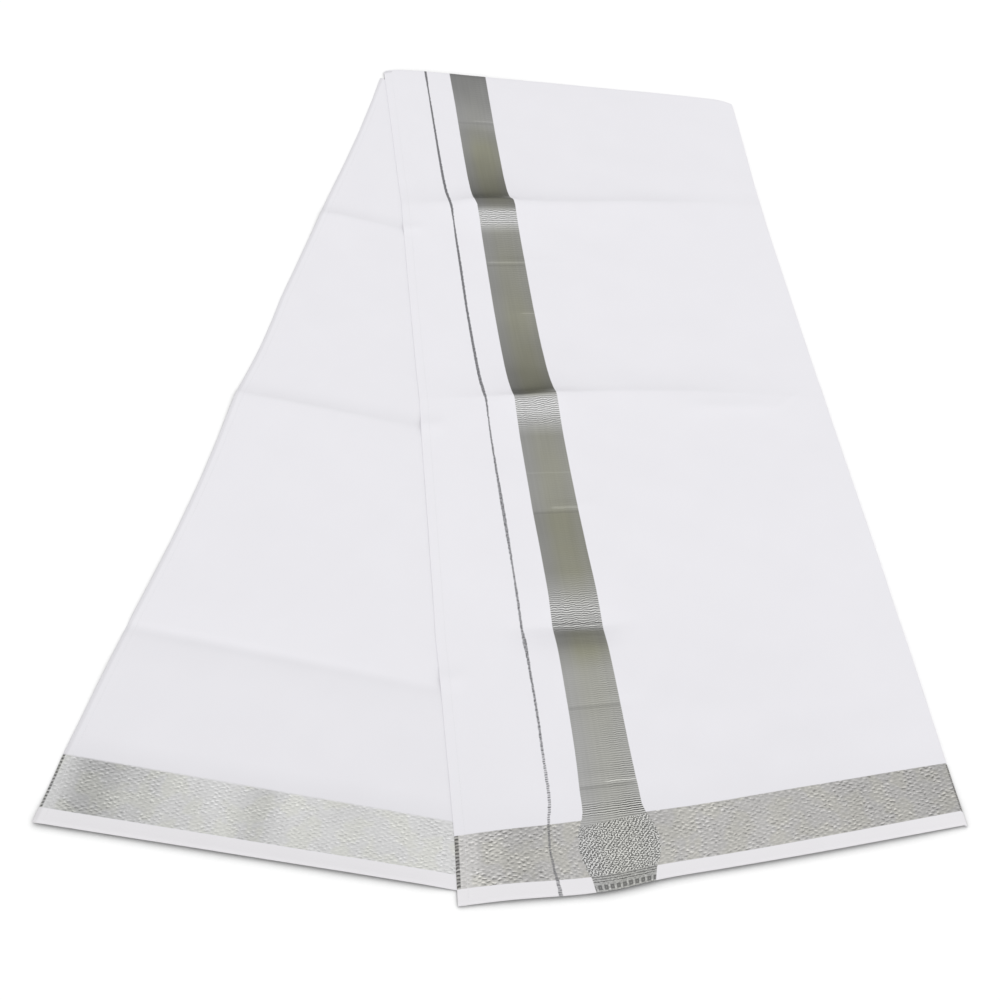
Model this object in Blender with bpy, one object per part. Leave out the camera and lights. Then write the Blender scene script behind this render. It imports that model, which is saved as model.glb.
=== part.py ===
"""Dhoti cloth: a white cotton wrap with woven silver bands, folded and laid flat.

One long cloth is folded book-wise into four quarters. The two end quarters show: the top leaf
lies over the under leaf, which is drawn out to the left like a fan, and the doubled middle of
the cloth lies hidden below them as one layered body. The cloth was pressed in quarters across
its width too, so ridges and a valley run across both leaves.

Metres, +Z up. +X runs to the right, from the cut end of the top leaf to its fold. +Y runs away
from the open near edge (the selvedge) to the far fold. The origin is at the middle of the
footprint, on the surface that the cloth lies on. The tables are in millimetres.
"""

import math
from collections import namedtuple

import bpy
from mathutils import Vector

MM = 0.001

# ---- driving sizes, in millimetres ---------------------------------------------------------
WALL = 1.4            # a stretch of cloth, as a wall
GAP = 0.3             # between pieces that touch
HEM_WIDTH = 9.5       # turned and stitched cut end
HEM_WALL = 0.8        # what the turning adds to the leaf
HIDDEN_LAYERS = 2.1   # the doubled middle of the cloth, where it lies flat
FOLD_REACH = 4.5      # how far a folded edge curls out from the flat of the leaf
TUCK = 78.0           # how far the under leaf goes in below the top leaf
LEAF_WIDTH = 480.0    # cut end to side fold: a quarter of the cloth

UNDER_TOP = WALL                                   # upper face of the under leaf
LOW_SEAT = UNDER_TOP + GAP                         # lower face of the top leaf, on the under leaf
HIGH_SEAT = LOW_SEAT + HIDDEN_LAYERS               # the same face, on the hidden layers

# Where each leaf is creased or edged: the ends of that line at its left and right sides.
Section = namedtuple("Section", "name left_x left_y right_x right_y")
TOP_SECTIONS = (
    Section("selvedge", -37.0, -594.5, 443.5, -516.0),
    Section("border_head", -41.5, -528.5, 434.0, -453.0),
    Section("valley", -65.0, -316.5, 414.0, -264.0),
    Section("middle_ridge", -92.5, 0.5, 375.0, 3.0),
    Section("upper_ridge", -126.5, 329.5, 336.0, 320.0),
    Section("far_fold", -162.0, 601.5, 320.5, 536.0),
)
# On the under leaf the right end is where the line passes below the edge of the top leaf.
UNDER_SECTIONS = (
    Section("selvedge", -443.5, -512.0, -38.0, -577.5),
    Section("border_head", -429.0, -446.0, -42.0, -513.0),
    Section("valley", -393.5, -316.0, -61.0, -366.5),
    Section("middle_ridge", -307.5, 14.5, -94.5, -37.0),
    Section("upper_ridge", -226.5, 328.0, -125.5, 287.5),
    Section("far_fold", -166.5, 584.5, -161.5, 582.0),
)

# The shape along each leaf: a row at a distance past a section (minus: before it), and how
# high the pressed cloth stands there above its flat.
Row = namedtuple("Row", "section past height")
TOP_ROWS = (
    Row("selvedge", 0, 0.0), Row("selvedge", 5, 0.4), Row("selvedge", 35, 1.4),
    Row("border_head", 0, 2.4), Row("border_head", 60, 5.5),
    Row("valley", -80, 9.0), Row("valley", -52, 10.6), Row("valley", -34, 10.0),
    Row("valley", -16, 5.6), Row("valley", -6, 2.0), Row("valley", 0, 0.4),
    Row("valley", 7, 2.2), Row("valley", 20, 5.0), Row("valley", 45, 7.2),
    Row("valley", 95, 7.4), Row("middle_ridge", -140, 6.6), Row("middle_ridge", -80, 6.4),
    Row("middle_ridge", -48, 7.8), Row("middle_ridge", -28, 10.4), Row("middle_ridge", -13, 13.4),
    Row("middle_ridge", -4, 15.6), Row("middle_ridge", 0, 16.0), Row("middle_ridge", 5, 13.4),
    Row("middle_ridge", 14, 9.2), Row("middle_ridge", 28, 5.2), Row("middle_ridge", 50, 2.2),
    Row("middle_ridge", 95, 1.0), Row("upper_ridge", -130, 1.6), Row("upper_ridge", -66, 3.2),
    Row("upper_ridge", -38, 7.0), Row("upper_ridge", -16, 12.2), Row("upper_ridge", -4, 15.5),
    Row("upper_ridge", 0, 16.0), Row("upper_ridge", 5, 13.4), Row("upper_ridge", 14, 9.2),
    Row("upper_ridge", 28, 5.2), Row("upper_ridge", 50, 2.2), Row("upper_ridge", 95, 1.0),
    Row("far_fold", -90, 0.6), Row("far_fold", -35, 0.5), Row("far_fold", -FOLD_REACH, 0.2),
)
UNDER_ROWS = (
    Row("selvedge", 0, 0.0), Row("selvedge", 34, 0.2), Row("border_head", 0, 0.5),
    Row("valley", -90, 1.6), Row("valley", -40, 2.8), Row("valley", -14, 1.4),
    Row("valley", 0, 0.0), Row("valley", 14, 1.3), Row("valley", 45, 2.4),
    Row("valley", 110, 1.6), Row("middle_ridge", -110, 1.0), Row("middle_ridge", -52, 1.6),
    Row("middle_ridge", -20, 3.2), Row("middle_ridge", 0, 4.6), Row("middle_ridge", 14, 2.6),
    Row("middle_ridge", 42, 0.9), Row("middle_ridge", 110, 0.4), Row("upper_ridge", -100, 0.4),
    Row("upper_ridge", -46, 1.2), Row("upper_ridge", -18, 2.8), Row("upper_ridge", 0, 4.4),
    Row("upper_ridge", 14, 2.4), Row("upper_ridge", 44, 0.7), Row("far_fold", -110, 0.2),
    Row("far_fold", 0, 0.0),
)

# Across the top leaf: distance from its cut end, the height of its lower face, and the share
# of each row's height that the cloth reaches there.
Column = namedtuple("Column", "across seat share")
TOP_COLUMNS = (
    Column(0, LOW_SEAT, 0.20), Column(10, LOW_SEAT + 0.2, 0.28), Column(22, LOW_SEAT + 1.3, 0.38),
    Column(50, HIGH_SEAT, 0.60), Column(80, HIGH_SEAT, 0.78), Column(82, HIGH_SEAT, 0.79),
    Column(106, HIGH_SEAT, 0.94), Column(134, HIGH_SEAT, 1.00), Column(166, HIGH_SEAT, 1.00),
    Column(212, HIGH_SEAT, 0.96), Column(262, HIGH_SEAT, 0.92), Column(314, HIGH_SEAT, 0.88),
    Column(364, HIGH_SEAT, 0.83), Column(410, HIGH_SEAT, 0.77), Column(446, HIGH_SEAT, 0.70),
    Column(LEAF_WIDTH - FOLD_REACH, HIGH_SEAT, 0.62),
)
HIDDEN_FROM = 2       # first column above the hidden layers
HIDDEN_STEP = 4       # last column where the hidden layers still lie on the under leaf

# Across the under leaf: share of the way from its cut end to the top leaf's edge, then height.
Across = namedtuple("Across", "way share")
UNDER_COLUMNS = (
    Across(0.00, 0.45), Across(0.05, 0.55), Across(0.25, 0.85), Across(0.50, 1.00),
    Across(0.75, 0.80), Across(0.92, 0.25), Across(1.00, 0.00),
)

# The near edge swells out where the wide metal band makes the cloth longer.
SWELL_AT = 128.0      # distance of that place from the cut end
SWELL_HALF = 46.0     # its half width
SWELL_OUT = 9.0       # how far it comes out
SWELL_FADES = 90.0    # how far up the leaf it can be felt
EDGE_BOW = 5.0        # the near edge's own slight bow

# The far fold's corners fall back a little.
LEFT_CORNER_RUN = 55.0
LEFT_CORNER_DROP = 12.0
RIGHT_CORNER_RUN = 26.0
RIGHT_CORNER_DROP = 7.0

FOLD_ANGLES = (30.0, 60.0, 90.0)   # where the curl of a folded edge is cut into facets

# The layered rim of the hidden body: share of the way down, and how far it stands out.
Lip = namedtuple("Lip", "down out")
LAYERED_RIM = (
    Lip(0.00, 0.0), Lip(0.08, 0.6), Lip(0.26, 0.9), Lip(0.34, 0.1),
    Lip(0.42, 0.8), Lip(0.60, 0.9), Lip(0.68, 0.1), Lip(0.76, 0.9), Lip(0.94, 0.9), Lip(1.00, 0.5),
)

WHITE_COTTON = (0.83, 0.82, 0.86)
WHITE_HIDDEN = (0.78, 0.77, 0.80)
SILVER_THREAD = (0.55, 0.55, 0.52)


# ---- plan of a leaf ------------------------------------------------------------------------
def section_at(sections, row):
    """The two ends of a row's line, between the sections on either side of it."""
    names = [section.name for section in sections]
    here = names.index(row.section)
    start = sections[here]
    finish = sections[here + 1] if row.past > 0 else sections[max(here - 1, 0)]
    run = abs((finish.left_y + finish.right_y) - (start.left_y + start.right_y)) / 2
    part = abs(row.past) / run if run else 0.0
    left = Vector((start.left_x, start.left_y)).lerp(Vector((finish.left_x, finish.left_y)), part)
    right = Vector((start.right_x, start.right_y)).lerp(Vector((finish.right_x, finish.right_y)), part)
    return left, right


def near_swell(across, from_selvedge):
    """How far the near edge comes out towards -Y, at a distance across the top leaf."""
    bell = math.exp(-(((across - SWELL_AT) / SWELL_HALF) ** 2))
    bow = math.sin(math.pi * across / LEAF_WIDTH)
    fade = max(0.0, 1.0 - from_selvedge / SWELL_FADES)
    return (SWELL_OUT * bell + EDGE_BOW * bow) * fade


def corner_drop(across):
    """How far the far fold falls back at its two corners."""
    left = max(0.0, 1.0 - across / LEFT_CORNER_RUN)
    right = max(0.0, 1.0 - (LEAF_WIDTH - across) / RIGHT_CORNER_RUN)
    return LEFT_CORNER_DROP * left**2 + RIGHT_CORNER_DROP * right**2


def top_plan(row, across):
    """X and Y of a point of the top leaf."""
    left, right = section_at(TOP_SECTIONS, row)
    point = left.lerp(right, across / LEAF_WIDTH)
    first, _ = section_at(TOP_SECTIONS, TOP_ROWS[0])
    last, _ = section_at(TOP_SECTIONS, TOP_ROWS[-1])
    point.y -= near_swell(across, left.y - first.y)
    point.y -= corner_drop(across) * max(0.0, 1.0 - (last.y - left.y) / SWELL_FADES)
    return point


def under_plan(row, way):
    """X and Y of a point of the under leaf."""
    left, right = section_at(UNDER_SECTIONS, row)
    return left.lerp(right, way)


# ---- meshes --------------------------------------------------------------------------------
def lifted(points, rise):
    """A copy of a grid of points, moved up."""
    return [[point + Vector((0, 0, rise)) for point in row] for row in points]


def rim_of(grid):
    """The points round the edge of a grid, anticlockwise from above."""
    near = grid[0]
    right = [row[-1] for row in grid[1:]]
    far = grid[-1][-2::-1]
    left = [row[0] for row in grid[-2:0:-1]]
    return list(near) + right + list(far) + left


def outward(rim):
    """A level direction out of the solid at each point of its rim."""
    directions = []
    for index, point in enumerate(rim):
        before = rim[index - 1]
        after = rim[(index + 1) % len(rim)]
        sides = []
        for start, finish in ((before, point), (point, after)):
            run = Vector((finish.x - start.x, finish.y - start.y, 0.0)).normalized()
            sides.append(Vector((run.y, -run.x, 0.0)))
        directions.append((sides[0] + sides[1]).normalized())
    return directions


def closed_cloth(name, upper, lower, material, rim_shape=(Lip(0.0, 0.0), Lip(1.0, 0.0))):
    """One closed body between two grids of points, with a shaped rim between their edges."""
    vertices = []
    faces = []
    rows = len(upper)
    columns = len(upper[0])

    def add(points):
        start = len(vertices)
        vertices.extend(point * MM for point in points)
        return list(range(start, len(vertices)))

    def skin(grid, upwards):
        numbers = [add(row) for row in grid]
        for r in range(rows - 1):
            for c in range(columns - 1):
                near_left, near_right = numbers[r][c], numbers[r][c + 1]
                far_left, far_right = numbers[r + 1][c], numbers[r + 1][c + 1]
                pair = ((near_left, near_right, far_right), (near_left, far_right, far_left))
                faces.extend(pair if upwards else tuple(face[::-1] for face in pair))
        return numbers

    top_loop = rim_of(skin(upper, True))
    bottom_loop = rim_of(skin(lower, False))
    top_rim = rim_of(upper)
    bottom_rim = rim_of(lower)
    out = outward(top_rim)
    loops = [top_loop]
    for lip in rim_shape[1:-1]:
        loops.append(add(
            high.lerp(low, lip.down) + direction * lip.out
            for high, low, direction in zip(top_rim, bottom_rim, out)
        ))
    loops.append(bottom_loop)
    count = len(top_loop)
    for above, below in zip(loops, loops[1:]):
        for index in range(count):
            following = (index + 1) % count
            faces.append((above[index], below[index], below[following], above[following]))

    mesh = bpy.data.meshes.new(name)
    mesh.from_pydata(vertices, [], faces)
    mesh.materials.append(material)
    mesh.validate()
    mesh.shade_smooth()
    mesh.set_sharp_from_angle(angle=math.radians(40.0))
    piece = bpy.data.objects.new(name, mesh)
    bpy.context.scene.collection.objects.link(piece)
    return piece


def cloth_material(name, colour, roughness, metallic=0.0):
    material = bpy.data.materials.new(name)
    material.use_nodes = True
    shader = material.node_tree.nodes["Principled BSDF"]
    shader.inputs["Base Color"].default_value = (*colour, 1.0)
    shader.inputs["Roughness"].default_value = roughness
    shader.inputs["Metallic"].default_value = metallic
    return material


# ---- the pieces ----------------------------------------------------------------------------
def top_grid(inner):
    """The top leaf's outer face, or its inner one: the flat of the leaf, then its two folds."""
    wall = 0.0 if inner else WALL
    reach = FOLD_REACH - (WALL if inner else 0.0)
    grid = []
    for row in TOP_ROWS:
        points = []
        for column in TOP_COLUMNS:
            plan = top_plan(row, column.across)
            height = column.seat + row.height * column.share + wall
            points.append(Vector((plan.x, plan.y, height)))
        grid.append(points)

    along = (grid[-1][-1] - grid[-2][-1]).normalized()
    across = (grid[-1][-1] - grid[-1][-2]).normalized()
    angles = [math.radians(angle) for angle in FOLD_ANGLES]
    for points in grid:
        edge = points[-1].copy()
        for angle in angles:
            points.append(Vector((
                edge.x + across.x * reach * math.sin(angle),
                edge.y + across.y * reach * math.sin(angle),
                edge.z * math.cos(angle),
            )))
    flat_edge = [point.copy() for point in grid[-1]]
    for angle in angles:
        curled = []
        for point in flat_edge:
            curled.append(Vector((
                point.x + along.x * reach * math.sin(angle),
                point.y + along.y * reach * math.sin(angle),
                point.z * math.cos(angle),
            )))
        grid.append(curled)
    return grid


def top_leaf(material):
    return closed_cloth("top_leaf", top_grid(inner=False), top_grid(inner=True), material)


def folded_layers(material):
    """The doubled middle of the cloth: level below, shaped like the top leaf above."""
    upper = []
    lower = []
    for row in TOP_ROWS[1:]:
        high = []
        low = []
        for number, column in enumerate(TOP_COLUMNS[HIDDEN_FROM:], start=HIDDEN_FROM):
            plan = top_plan(row, column.across)
            height = column.seat + row.height * column.share - GAP
            floor = LOW_SEAT if number <= HIDDEN_STEP else 0.0
            high.append(Vector((plan.x, plan.y, height)))
            low.append(Vector((plan.x, plan.y, floor)))
        upper.append(high)
        lower.append(low)
    return closed_cloth("folded_layers", upper, lower, material, LAYERED_RIM)


def under_grid():
    """The under leaf's lower face, from its cut end to its hidden end below the top leaf."""
    grid = []
    for row in UNDER_ROWS:
        points = []
        for column in UNDER_COLUMNS:
            plan = under_plan(row, column.way)
            points.append(Vector((plan.x, plan.y, row.height * column.share)))
        tucked = points[-1] + Vector((TUCK, 0.0, 0.0))
        grid.append(points + [tucked])
    return grid


def under_leaf(material):
    lower = under_grid()
    return closed_cloth("under_leaf", lifted(lower, WALL), lower, material)


def hem(name, grid, material):
    """The turned edge of a cut end: a narrow strip made from the leaf's own first columns."""
    strip = []
    for points in grid:
        edge, inside = points[0], points[1]
        run = Vector((inside.x - edge.x, inside.y - edge.y)).length
        strip.append([edge.lerp(inside, GAP / run), edge.lerp(inside, min(HEM_WIDTH / run, 0.97))])
    return closed_cloth(name, lifted(strip, GAP + HEM_WALL), lifted(strip, GAP), material)


def build():
    for left_over in list(bpy.data.objects):
        bpy.data.objects.remove(left_over)

    cotton = cloth_material("white_cotton", WHITE_COTTON, 0.9)
    inside = cloth_material("white_cotton_inside", WHITE_HIDDEN, 0.9)
    hemmed = cloth_material("hemmed_end", SILVER_THREAD, 0.55, metallic=0.4)

    top_leaf(cotton)
    under_leaf(cotton)
    folded_layers(inside)
    top_face = top_grid(inner=False)[: len(TOP_ROWS)]
    hem("top_end_hem", top_face, hemmed)
    hem("under_end_hem", lifted(under_grid(), WALL), hemmed)


build()
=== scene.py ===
# %% [markdown]
# # A folded dhoti, laid on a table
# A dhoti is one long length of fine white cotton, about two metres by one and a quarter, with
# bands of silver-wrapped thread woven along its selvedge and across its ends. This one is
# folded book-wise into quarters. Two of the quarters show: the top leaf, and below it the
# under leaf, drawn out to the left like a fan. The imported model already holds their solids.
# The lesson dresses each solid with thin cloth of the same form, weaves the bands with shader
# nodes and lights the whole like a shop table.

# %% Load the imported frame
import math
from collections import namedtuple

import bpy
import numpy as np
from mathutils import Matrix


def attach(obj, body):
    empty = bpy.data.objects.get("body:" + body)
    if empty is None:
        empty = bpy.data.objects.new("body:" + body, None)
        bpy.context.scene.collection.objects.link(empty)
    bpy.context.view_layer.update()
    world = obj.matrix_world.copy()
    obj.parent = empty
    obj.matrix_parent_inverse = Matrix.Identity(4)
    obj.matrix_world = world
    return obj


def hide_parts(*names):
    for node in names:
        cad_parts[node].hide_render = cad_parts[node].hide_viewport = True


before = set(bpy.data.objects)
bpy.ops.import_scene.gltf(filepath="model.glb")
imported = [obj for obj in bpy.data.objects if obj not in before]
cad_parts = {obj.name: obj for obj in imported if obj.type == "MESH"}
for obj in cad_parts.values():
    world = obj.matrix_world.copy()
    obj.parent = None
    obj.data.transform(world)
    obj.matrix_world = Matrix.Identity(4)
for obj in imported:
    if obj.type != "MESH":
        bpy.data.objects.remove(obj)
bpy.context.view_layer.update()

bpy.ops.object.select_all(action="DESELECT")
print("nodes to dress:", ", ".join(sorted(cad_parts)))

# %% [markdown]
# ## The camera first
# The table is seen from the near side, a good metre above it, looking down at 55 degrees. A
# lens of 50 mm on a 36 mm sensor keeps the far fold clearly smaller than the near edge, as the
# eye sees it from there. The camera is aimed by its tilt alone, so the cloth's own middle line
# stays upright in the view.

# %% Camera
CAMERA_PLACE = (0.0, -1.026, 1.27)
CAMERA_TILT = 35.0        # degrees up from looking straight down
CAMERA_LENS = 50.4
CAMERA_SENSOR = 36.0

camera_data = bpy.data.cameras.new("table_camera")
camera_data.lens = CAMERA_LENS
camera_data.sensor_width = CAMERA_SENSOR
camera = bpy.data.objects.new("table_camera", camera_data)
camera.location = CAMERA_PLACE
camera.rotation_euler = (math.radians(CAMERA_TILT), 0.0, 0.0)
bpy.context.scene.collection.objects.link(camera)
bpy.context.scene.camera = camera
print("camera stands", round(math.dist(CAMERA_PLACE, (0, 0, 0)), 2), "m from the cloth's middle")

# %% [markdown]
# ## Sizes and tables
# Cloth is planned flat. Each leaf is described by a few lines across it: the selvedge, the head
# of the woven border, the pressed creases and the far fold. Between two of those lines the leaf
# is ruled straight, so the whole plan is two short tables. All of them are in millimetres.

# %% Sizes of the cloth
MM = 0.001
CLOTH = 0.6               # the cloth and the air in its weave
LEAF_WIDTH = 480.0        # cut end to side fold: a quarter of the cloth
FOLD_REACH = 2.4          # how far a folded edge curls out
UNDER_FACE = 1.1          # upper face of the under leaf where it lies flat
TUCK = 78.0               # how far the under leaf goes in below the top leaf
ON_TABLE = 0.03           # clearance of the lowest face above the table


def table(kind, *rows):
    """The rows of a table, each as a named tuple of one kind."""
    return tuple(kind(*row) for row in rows)


Section = namedtuple("Section", "name left_x left_y right_x right_y")
TOP_SECTIONS = table(
    Section,
    ("selvedge", -37.0, -593.7, 444.8, -515.2),
    ("border_head", -41.5, -528.0, 436.8, -451.7),
    ("valley", -65.0, -306.5, 415.5, -274.0),
    ("middle_ridge", -92.5, 0.5, 378.5, 3.0),
    ("upper_ridge", -126.5, 329.5, 338.5, 320.0),
    ("far_fold", -162.0, 605.0, 320.5, 534.0),
)
UNDER_SECTIONS = table(
    Section,
    ("selvedge", -443.5, -513.5, -38.0, -579.0),
    ("border_head", -427.5, -443.0, -42.0, -513.0),
    ("valley", -386.7, -297.0, -61.0, -370.0),
    ("middle_ridge", -307.5, 14.5, -94.5, -37.0),
    ("upper_ridge", -229.6, 316.0, -125.5, 286.5),
    ("far_fold", -166.5, 584.5, -161.5, 582.0),
)


def stations(sections):
    """How far each section lies from the selvedge, up the middle of the leaf."""
    middles = [(section.left_y + section.right_y) / 2 for section in sections]
    return {section.name: middle - middles[0] for section, middle in zip(sections, middles)}


TOP_AT = stations(TOP_SECTIONS)
UNDER_AT = stations(UNDER_SECTIONS)
print("top leaf:", {name: round(place) for name, place in TOP_AT.items()})
print("under leaf:", {name: round(place) for name, place in UNDER_AT.items()})

# %% [markdown]
# ## How high the pressed cloth stands
# The cloth was pressed in quarters across its width as well, so two ridges and a valley cross
# it. A profile is a table of heights past each section. A straight line between the points
# would show facets, and a plain spline would overshoot at a sharp crest. A monotone cubic does
# neither: it is round on top and never rises above its own points.

# %% Height profiles
def read(rows, at, by, *fields):
    """Columns of a table, each read in a straight line between the table's rows."""
    places = [getattr(row, by) for row in rows]
    return [np.interp(at, places, [getattr(row, field) for row in rows]) for field in fields]


def by_section(kind, **groups):
    """A table written section by section: each row is led by its section's name."""
    return tuple(kind(section, *row) for section, rows in groups.items() for row in rows)


Row = namedtuple("Row", "section past height")
TOP_HEIGHTS = by_section(
    Row,
    selvedge=((0, -0.6), (8, -0.5), (35, 1.1)),
    border_head=((0, 2.4), (60, 4.8)),
    valley=((-80, 8.2), (-52, 9.4), (-34, 9.0), (-16, 5.6), (-6, 2.6), (0, 1.2), (7, 3.0),
            (20, 5.6), (45, 7.2), (95, 7.2)),
    middle_ridge=((-140, 6.6), (-80, 6.2), (-48, 7.2), (-28, 9.0), (-13, 11.3), (-4, 12.8),
                  (0, 13.0), (3, 11.6), (7, 9.2), (14, 6.6), (28, 4.2), (50, 2.2), (95, 1.0)),
    upper_ridge=((-130, 1.6), (-66, 3.0), (-38, 6.0), (-16, 10.0), (-4, 12.8), (0, 13.0), (3, 11.6),
                 (7, 9.2), (14, 6.6), (28, 4.2), (50, 2.2), (95, 1.0)),
    far_fold=((-90, 0.6), (-35, 0.5), (0, 0.0)),
)
UNDER_HEIGHTS = by_section(
    Row,
    selvedge=((0, 3.2), (10, 2.2), (34, 0.8)),
    border_head=((0, 0.5),),
    valley=((-90, 1.4), (-40, 2.2), (-12, 1.4), (0, 0.2), (10, 1.2), (45, 2.0), (110, 1.4)),
    middle_ridge=((-110, 0.8), (-52, 1.4), (-20, 2.4), (-4, 3.1), (0, 3.2), (6, 2.2), (14, 1.5),
                  (42, 0.7), (110, 0.4)),
    upper_ridge=((-100, 0.4), (-46, 1.0), (-18, 2.0), (-4, 2.7), (0, 2.8), (6, 1.9), (14, 1.2),
                 (44, 0.5)),
    far_fold=((-110, 0.2), (0, 0.0)),
)

# Across the top leaf: the height of its outer face, and the share of each row's height there.
Column = namedtuple("Column", "across seat share")
TOP_COLUMNS = table(
    Column,
    (0, 2.3, 0.02), (8, 2.4, 0.06), (22, 3.1, 0.20), (50, 4.6, 0.50), (80, 4.9, 0.78),
    (106, 4.9, 0.94), (134, 4.9, 1.00), (166, 4.9, 1.00), (212, 4.9, 0.96), (262, 4.9, 0.90),
    (314, 4.9, 0.80), (364, 4.7, 0.64), (410, 4.4, 0.46), (446, 3.7, 0.28), (477.6, 2.7, 0.12),
)
# A crease is sharp where it crosses the stiff silver band and dies away in the plain cotton on
# both sides. Each row says, at a distance across, how much of its form the crease keeps and how
# far its line has slipped towards the far fold.
Calm = namedtuple("Calm", "section across keep slip")
# A crease changes the leaf from so far before its section to so far past it.
CREASE_REACH = {"valley": (-110.0, 160.0), "middle_ridge": (-130.0, 95.0),
                "upper_ridge": (-130.0, 95.0)}
SLIP_REACH = 32.0         # its line slips most at the section, and less and less beside it
CALMED = by_section(
    Calm,
    valley=((0, 0.0, -4.5), (60, 0.05, -4.5), (105, 0.8, -4.0), (125, 1.0, -3.5), (172, 1.0, -5.5),
            (190, 0.4, -5.5), (212, 0.0, -5.5), (480, 0.0, -5.5)),
    middle_ridge=((0, 0.15, 7.0), (60, 0.25, 3.0), (108, 0.9, -1.5), (120, 1.0, -2.0),
                  (168, 1.0, 2.5), (186, 0.6, 5.0), (220, 0.4, 8.0), (330, 0.35, 8.5),
                  (420, 0.15, 5.0), (480, 0.1, 3.0)),
    upper_ridge=((0, 0.35, 2.5), (60, 0.45, -0.5), (90, 0.9, -1.0), (102, 1.0, -1.5),
                 (145, 1.0, -2.5), (162, 0.6, -1.0), (200, 0.38, 0.5), (340, 0.38, 5.0),
                 (400, 0.2, 7.5), (480, 0.1, 8.0)),
)
# Across the under leaf: share of the way to the top leaf's edge, the share of each row's height
# there, and the share of it at the lifted near edge.
Across = namedtuple("Across", "way share near")
UNDER_COLUMNS = table(
    Across,
    (0.00, 0.55, 0.9), (0.05, 0.70, 0.9), (0.20, 1.00, 1.0), (0.45, 0.90, 1.0), (0.75, 0.50, 1.0),
    (0.92, 0.20, 0.8), (1.00, 0.06, 0.05), (1.30, 0.00, 0.0),
)
NEAR_EDGE = (40.0, 90.0)  # the near edge's share fades into the leaf's own between these


def smooth_through(places, values, at):
    """A curve through the points that never rises above its own points: a monotone cubic."""
    places = np.asarray(places, float)
    values = np.asarray(values, float)
    run = np.diff(places)
    rise = np.diff(values) / run
    slope = np.zeros(len(places))
    same_way = rise[:-1] * rise[1:] > 0
    before, after = rise[:-1][same_way], rise[1:][same_way]
    slope[1:-1][same_way] = 2 * before * after / (before + after)
    at = np.clip(at, places[0], places[-1])
    cell = np.clip(np.searchsorted(places, at) - 1, 0, len(run) - 1)
    part = (at - places[cell]) / run[cell]
    rest = 1 - part
    ends = values[cell] * (1 + 2 * part) * rest**2 + values[cell + 1] * (3 - 2 * part) * part**2
    bends = slope[cell] * part * rest**2 - slope[cell + 1] * rest * part**2
    return ends + bends * run[cell]


def profile(rows, places, along):
    """Height of the pressed cloth at a distance from the selvedge."""
    at = [places[row.section] + row.past for row in rows]
    return smooth_through(at, [row.height for row in rows], along)


print("crest of the middle ridge:", profile(TOP_HEIGHTS, TOP_AT, np.array([557.0])), "mm")

# %% [markdown]
# ## Small creases, placed one by one
# Between the three big creases lie the faint ones that a stack of cloth picks up in a drawer.
# Each is a soft ridge or trough along a short line, fading towards its ends. They could come
# from a noise texture, but pressed cloth isn't random: its creases are few, long and nearly
# square to the weave. So they are written down one by one, in the leaf's own millimetres.

# %% Creases of both leaves
Crease = namedtuple("Crease", "start_across start_along end_across end_along height half_width")
TOP_CREASES = table(
    Crease,
    (70, 1022, 330, 1018, 0.35, 3.0), (84, 776, 235, 778, 0.55, 2.2),
    (112, 693, 190, 694, 0.35, 2.0), (105, 450, 150, 452, -0.30, 2.0),
    (118, 404, 205, 409, 0.55, 2.4), (110, 166, 205, 172, -0.75, 3.0),
    (116, 99, 190, 103, 0.50, 2.0), (116, 91, 150, 92, -0.60, 3.2), (300, 535, 425, 540, 1.20, 9.0),
    (415, 533, 446, 562, 0.80, 3.5), (330, 40, 300, 250, 0.60, 22.0),
    (240, 120, 470, 150, -0.70, 20.0), (200, 660, 420, 640, 0.50, 26.0),
    (220, 980, 440, 940, 0.40, 24.0), (100, 700, 96, 790, 0.30, 2.5),
    (104, 120, 100, 330, 0.45, 8.0), (62, 90, 66, 240, -0.50, 12.0), (30, 60, 22, 330, 0.35, 7.0),
    (184, 470, 181, 510, 0.35, 3.0), (182, 385, 180, 420, 0.30, 3.0),
    (166, 610, 164, 650, 0.30, 2.5), (160, 760, 158, 800, 0.35, 2.5),
    (250, 250, 262, 420, 0.35, 14.0), (380, 300, 372, 500, -0.35, 18.0),
    (-22, 838, 30, 836, 1.60, 7.0), (-22, 523, 30, 520, 1.80, 9.0), (-22, 217, 30, 214, 1.50, 9.0),
)
UNDER_CREASES = table(
    Crease,
    (60, 60, 90, 190, 0.50, 20.0), (210, 90, 200, 400, 0.35, 16.0),
    (130, 300, 250, 480, -0.40, 22.0), (300, 120, 330, 240, -0.45, 18.0),
    (60, 400, 120, 560, 0.30, 14.0), (20, 640, 150, 700, 0.30, 10.0),
    (330, 20, 322, 110, 0.40, 8.0), (120, 10, 132, 80, -0.35, 10.0),
)
EDGE_WAVES = ((61.0, 0.5, 0.16), (37.0, 2.1, 0.10), (149.0, 1.2, 0.22))  # length, phase, height


def creased(creases, along, across):
    """What the small creases add to the height."""
    total = np.zeros(np.broadcast(along, across).shape)
    for crease in creases:
        run_across = crease.end_across - crease.start_across
        run_along = crease.end_along - crease.start_along
        length = math.hypot(run_across, run_along)
        from_start = (across - crease.start_across) * run_across
        from_start = (from_start + (along - crease.start_along) * run_along) / length**2
        off_line = (across - crease.start_across) * run_along
        off_line = (off_line - (along - crease.start_along) * run_across) / length
        fade = np.clip(4.0 * np.minimum(from_start, 1.0 - from_start), 0.0, 1.0)
        total += crease.height * fade * np.exp(-((off_line / crease.half_width) ** 2))
    return total


def uneven(along, across):
    """The slow waves of cloth that no iron takes out."""
    wave = np.zeros(np.broadcast(along, across).shape)
    for length, phase, height in EDGE_WAVES:
        slant = along * math.cos(phase) + across * math.sin(phase)
        wave += height * np.sin(2 * math.pi * slant / length + phase)
    return wave


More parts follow.
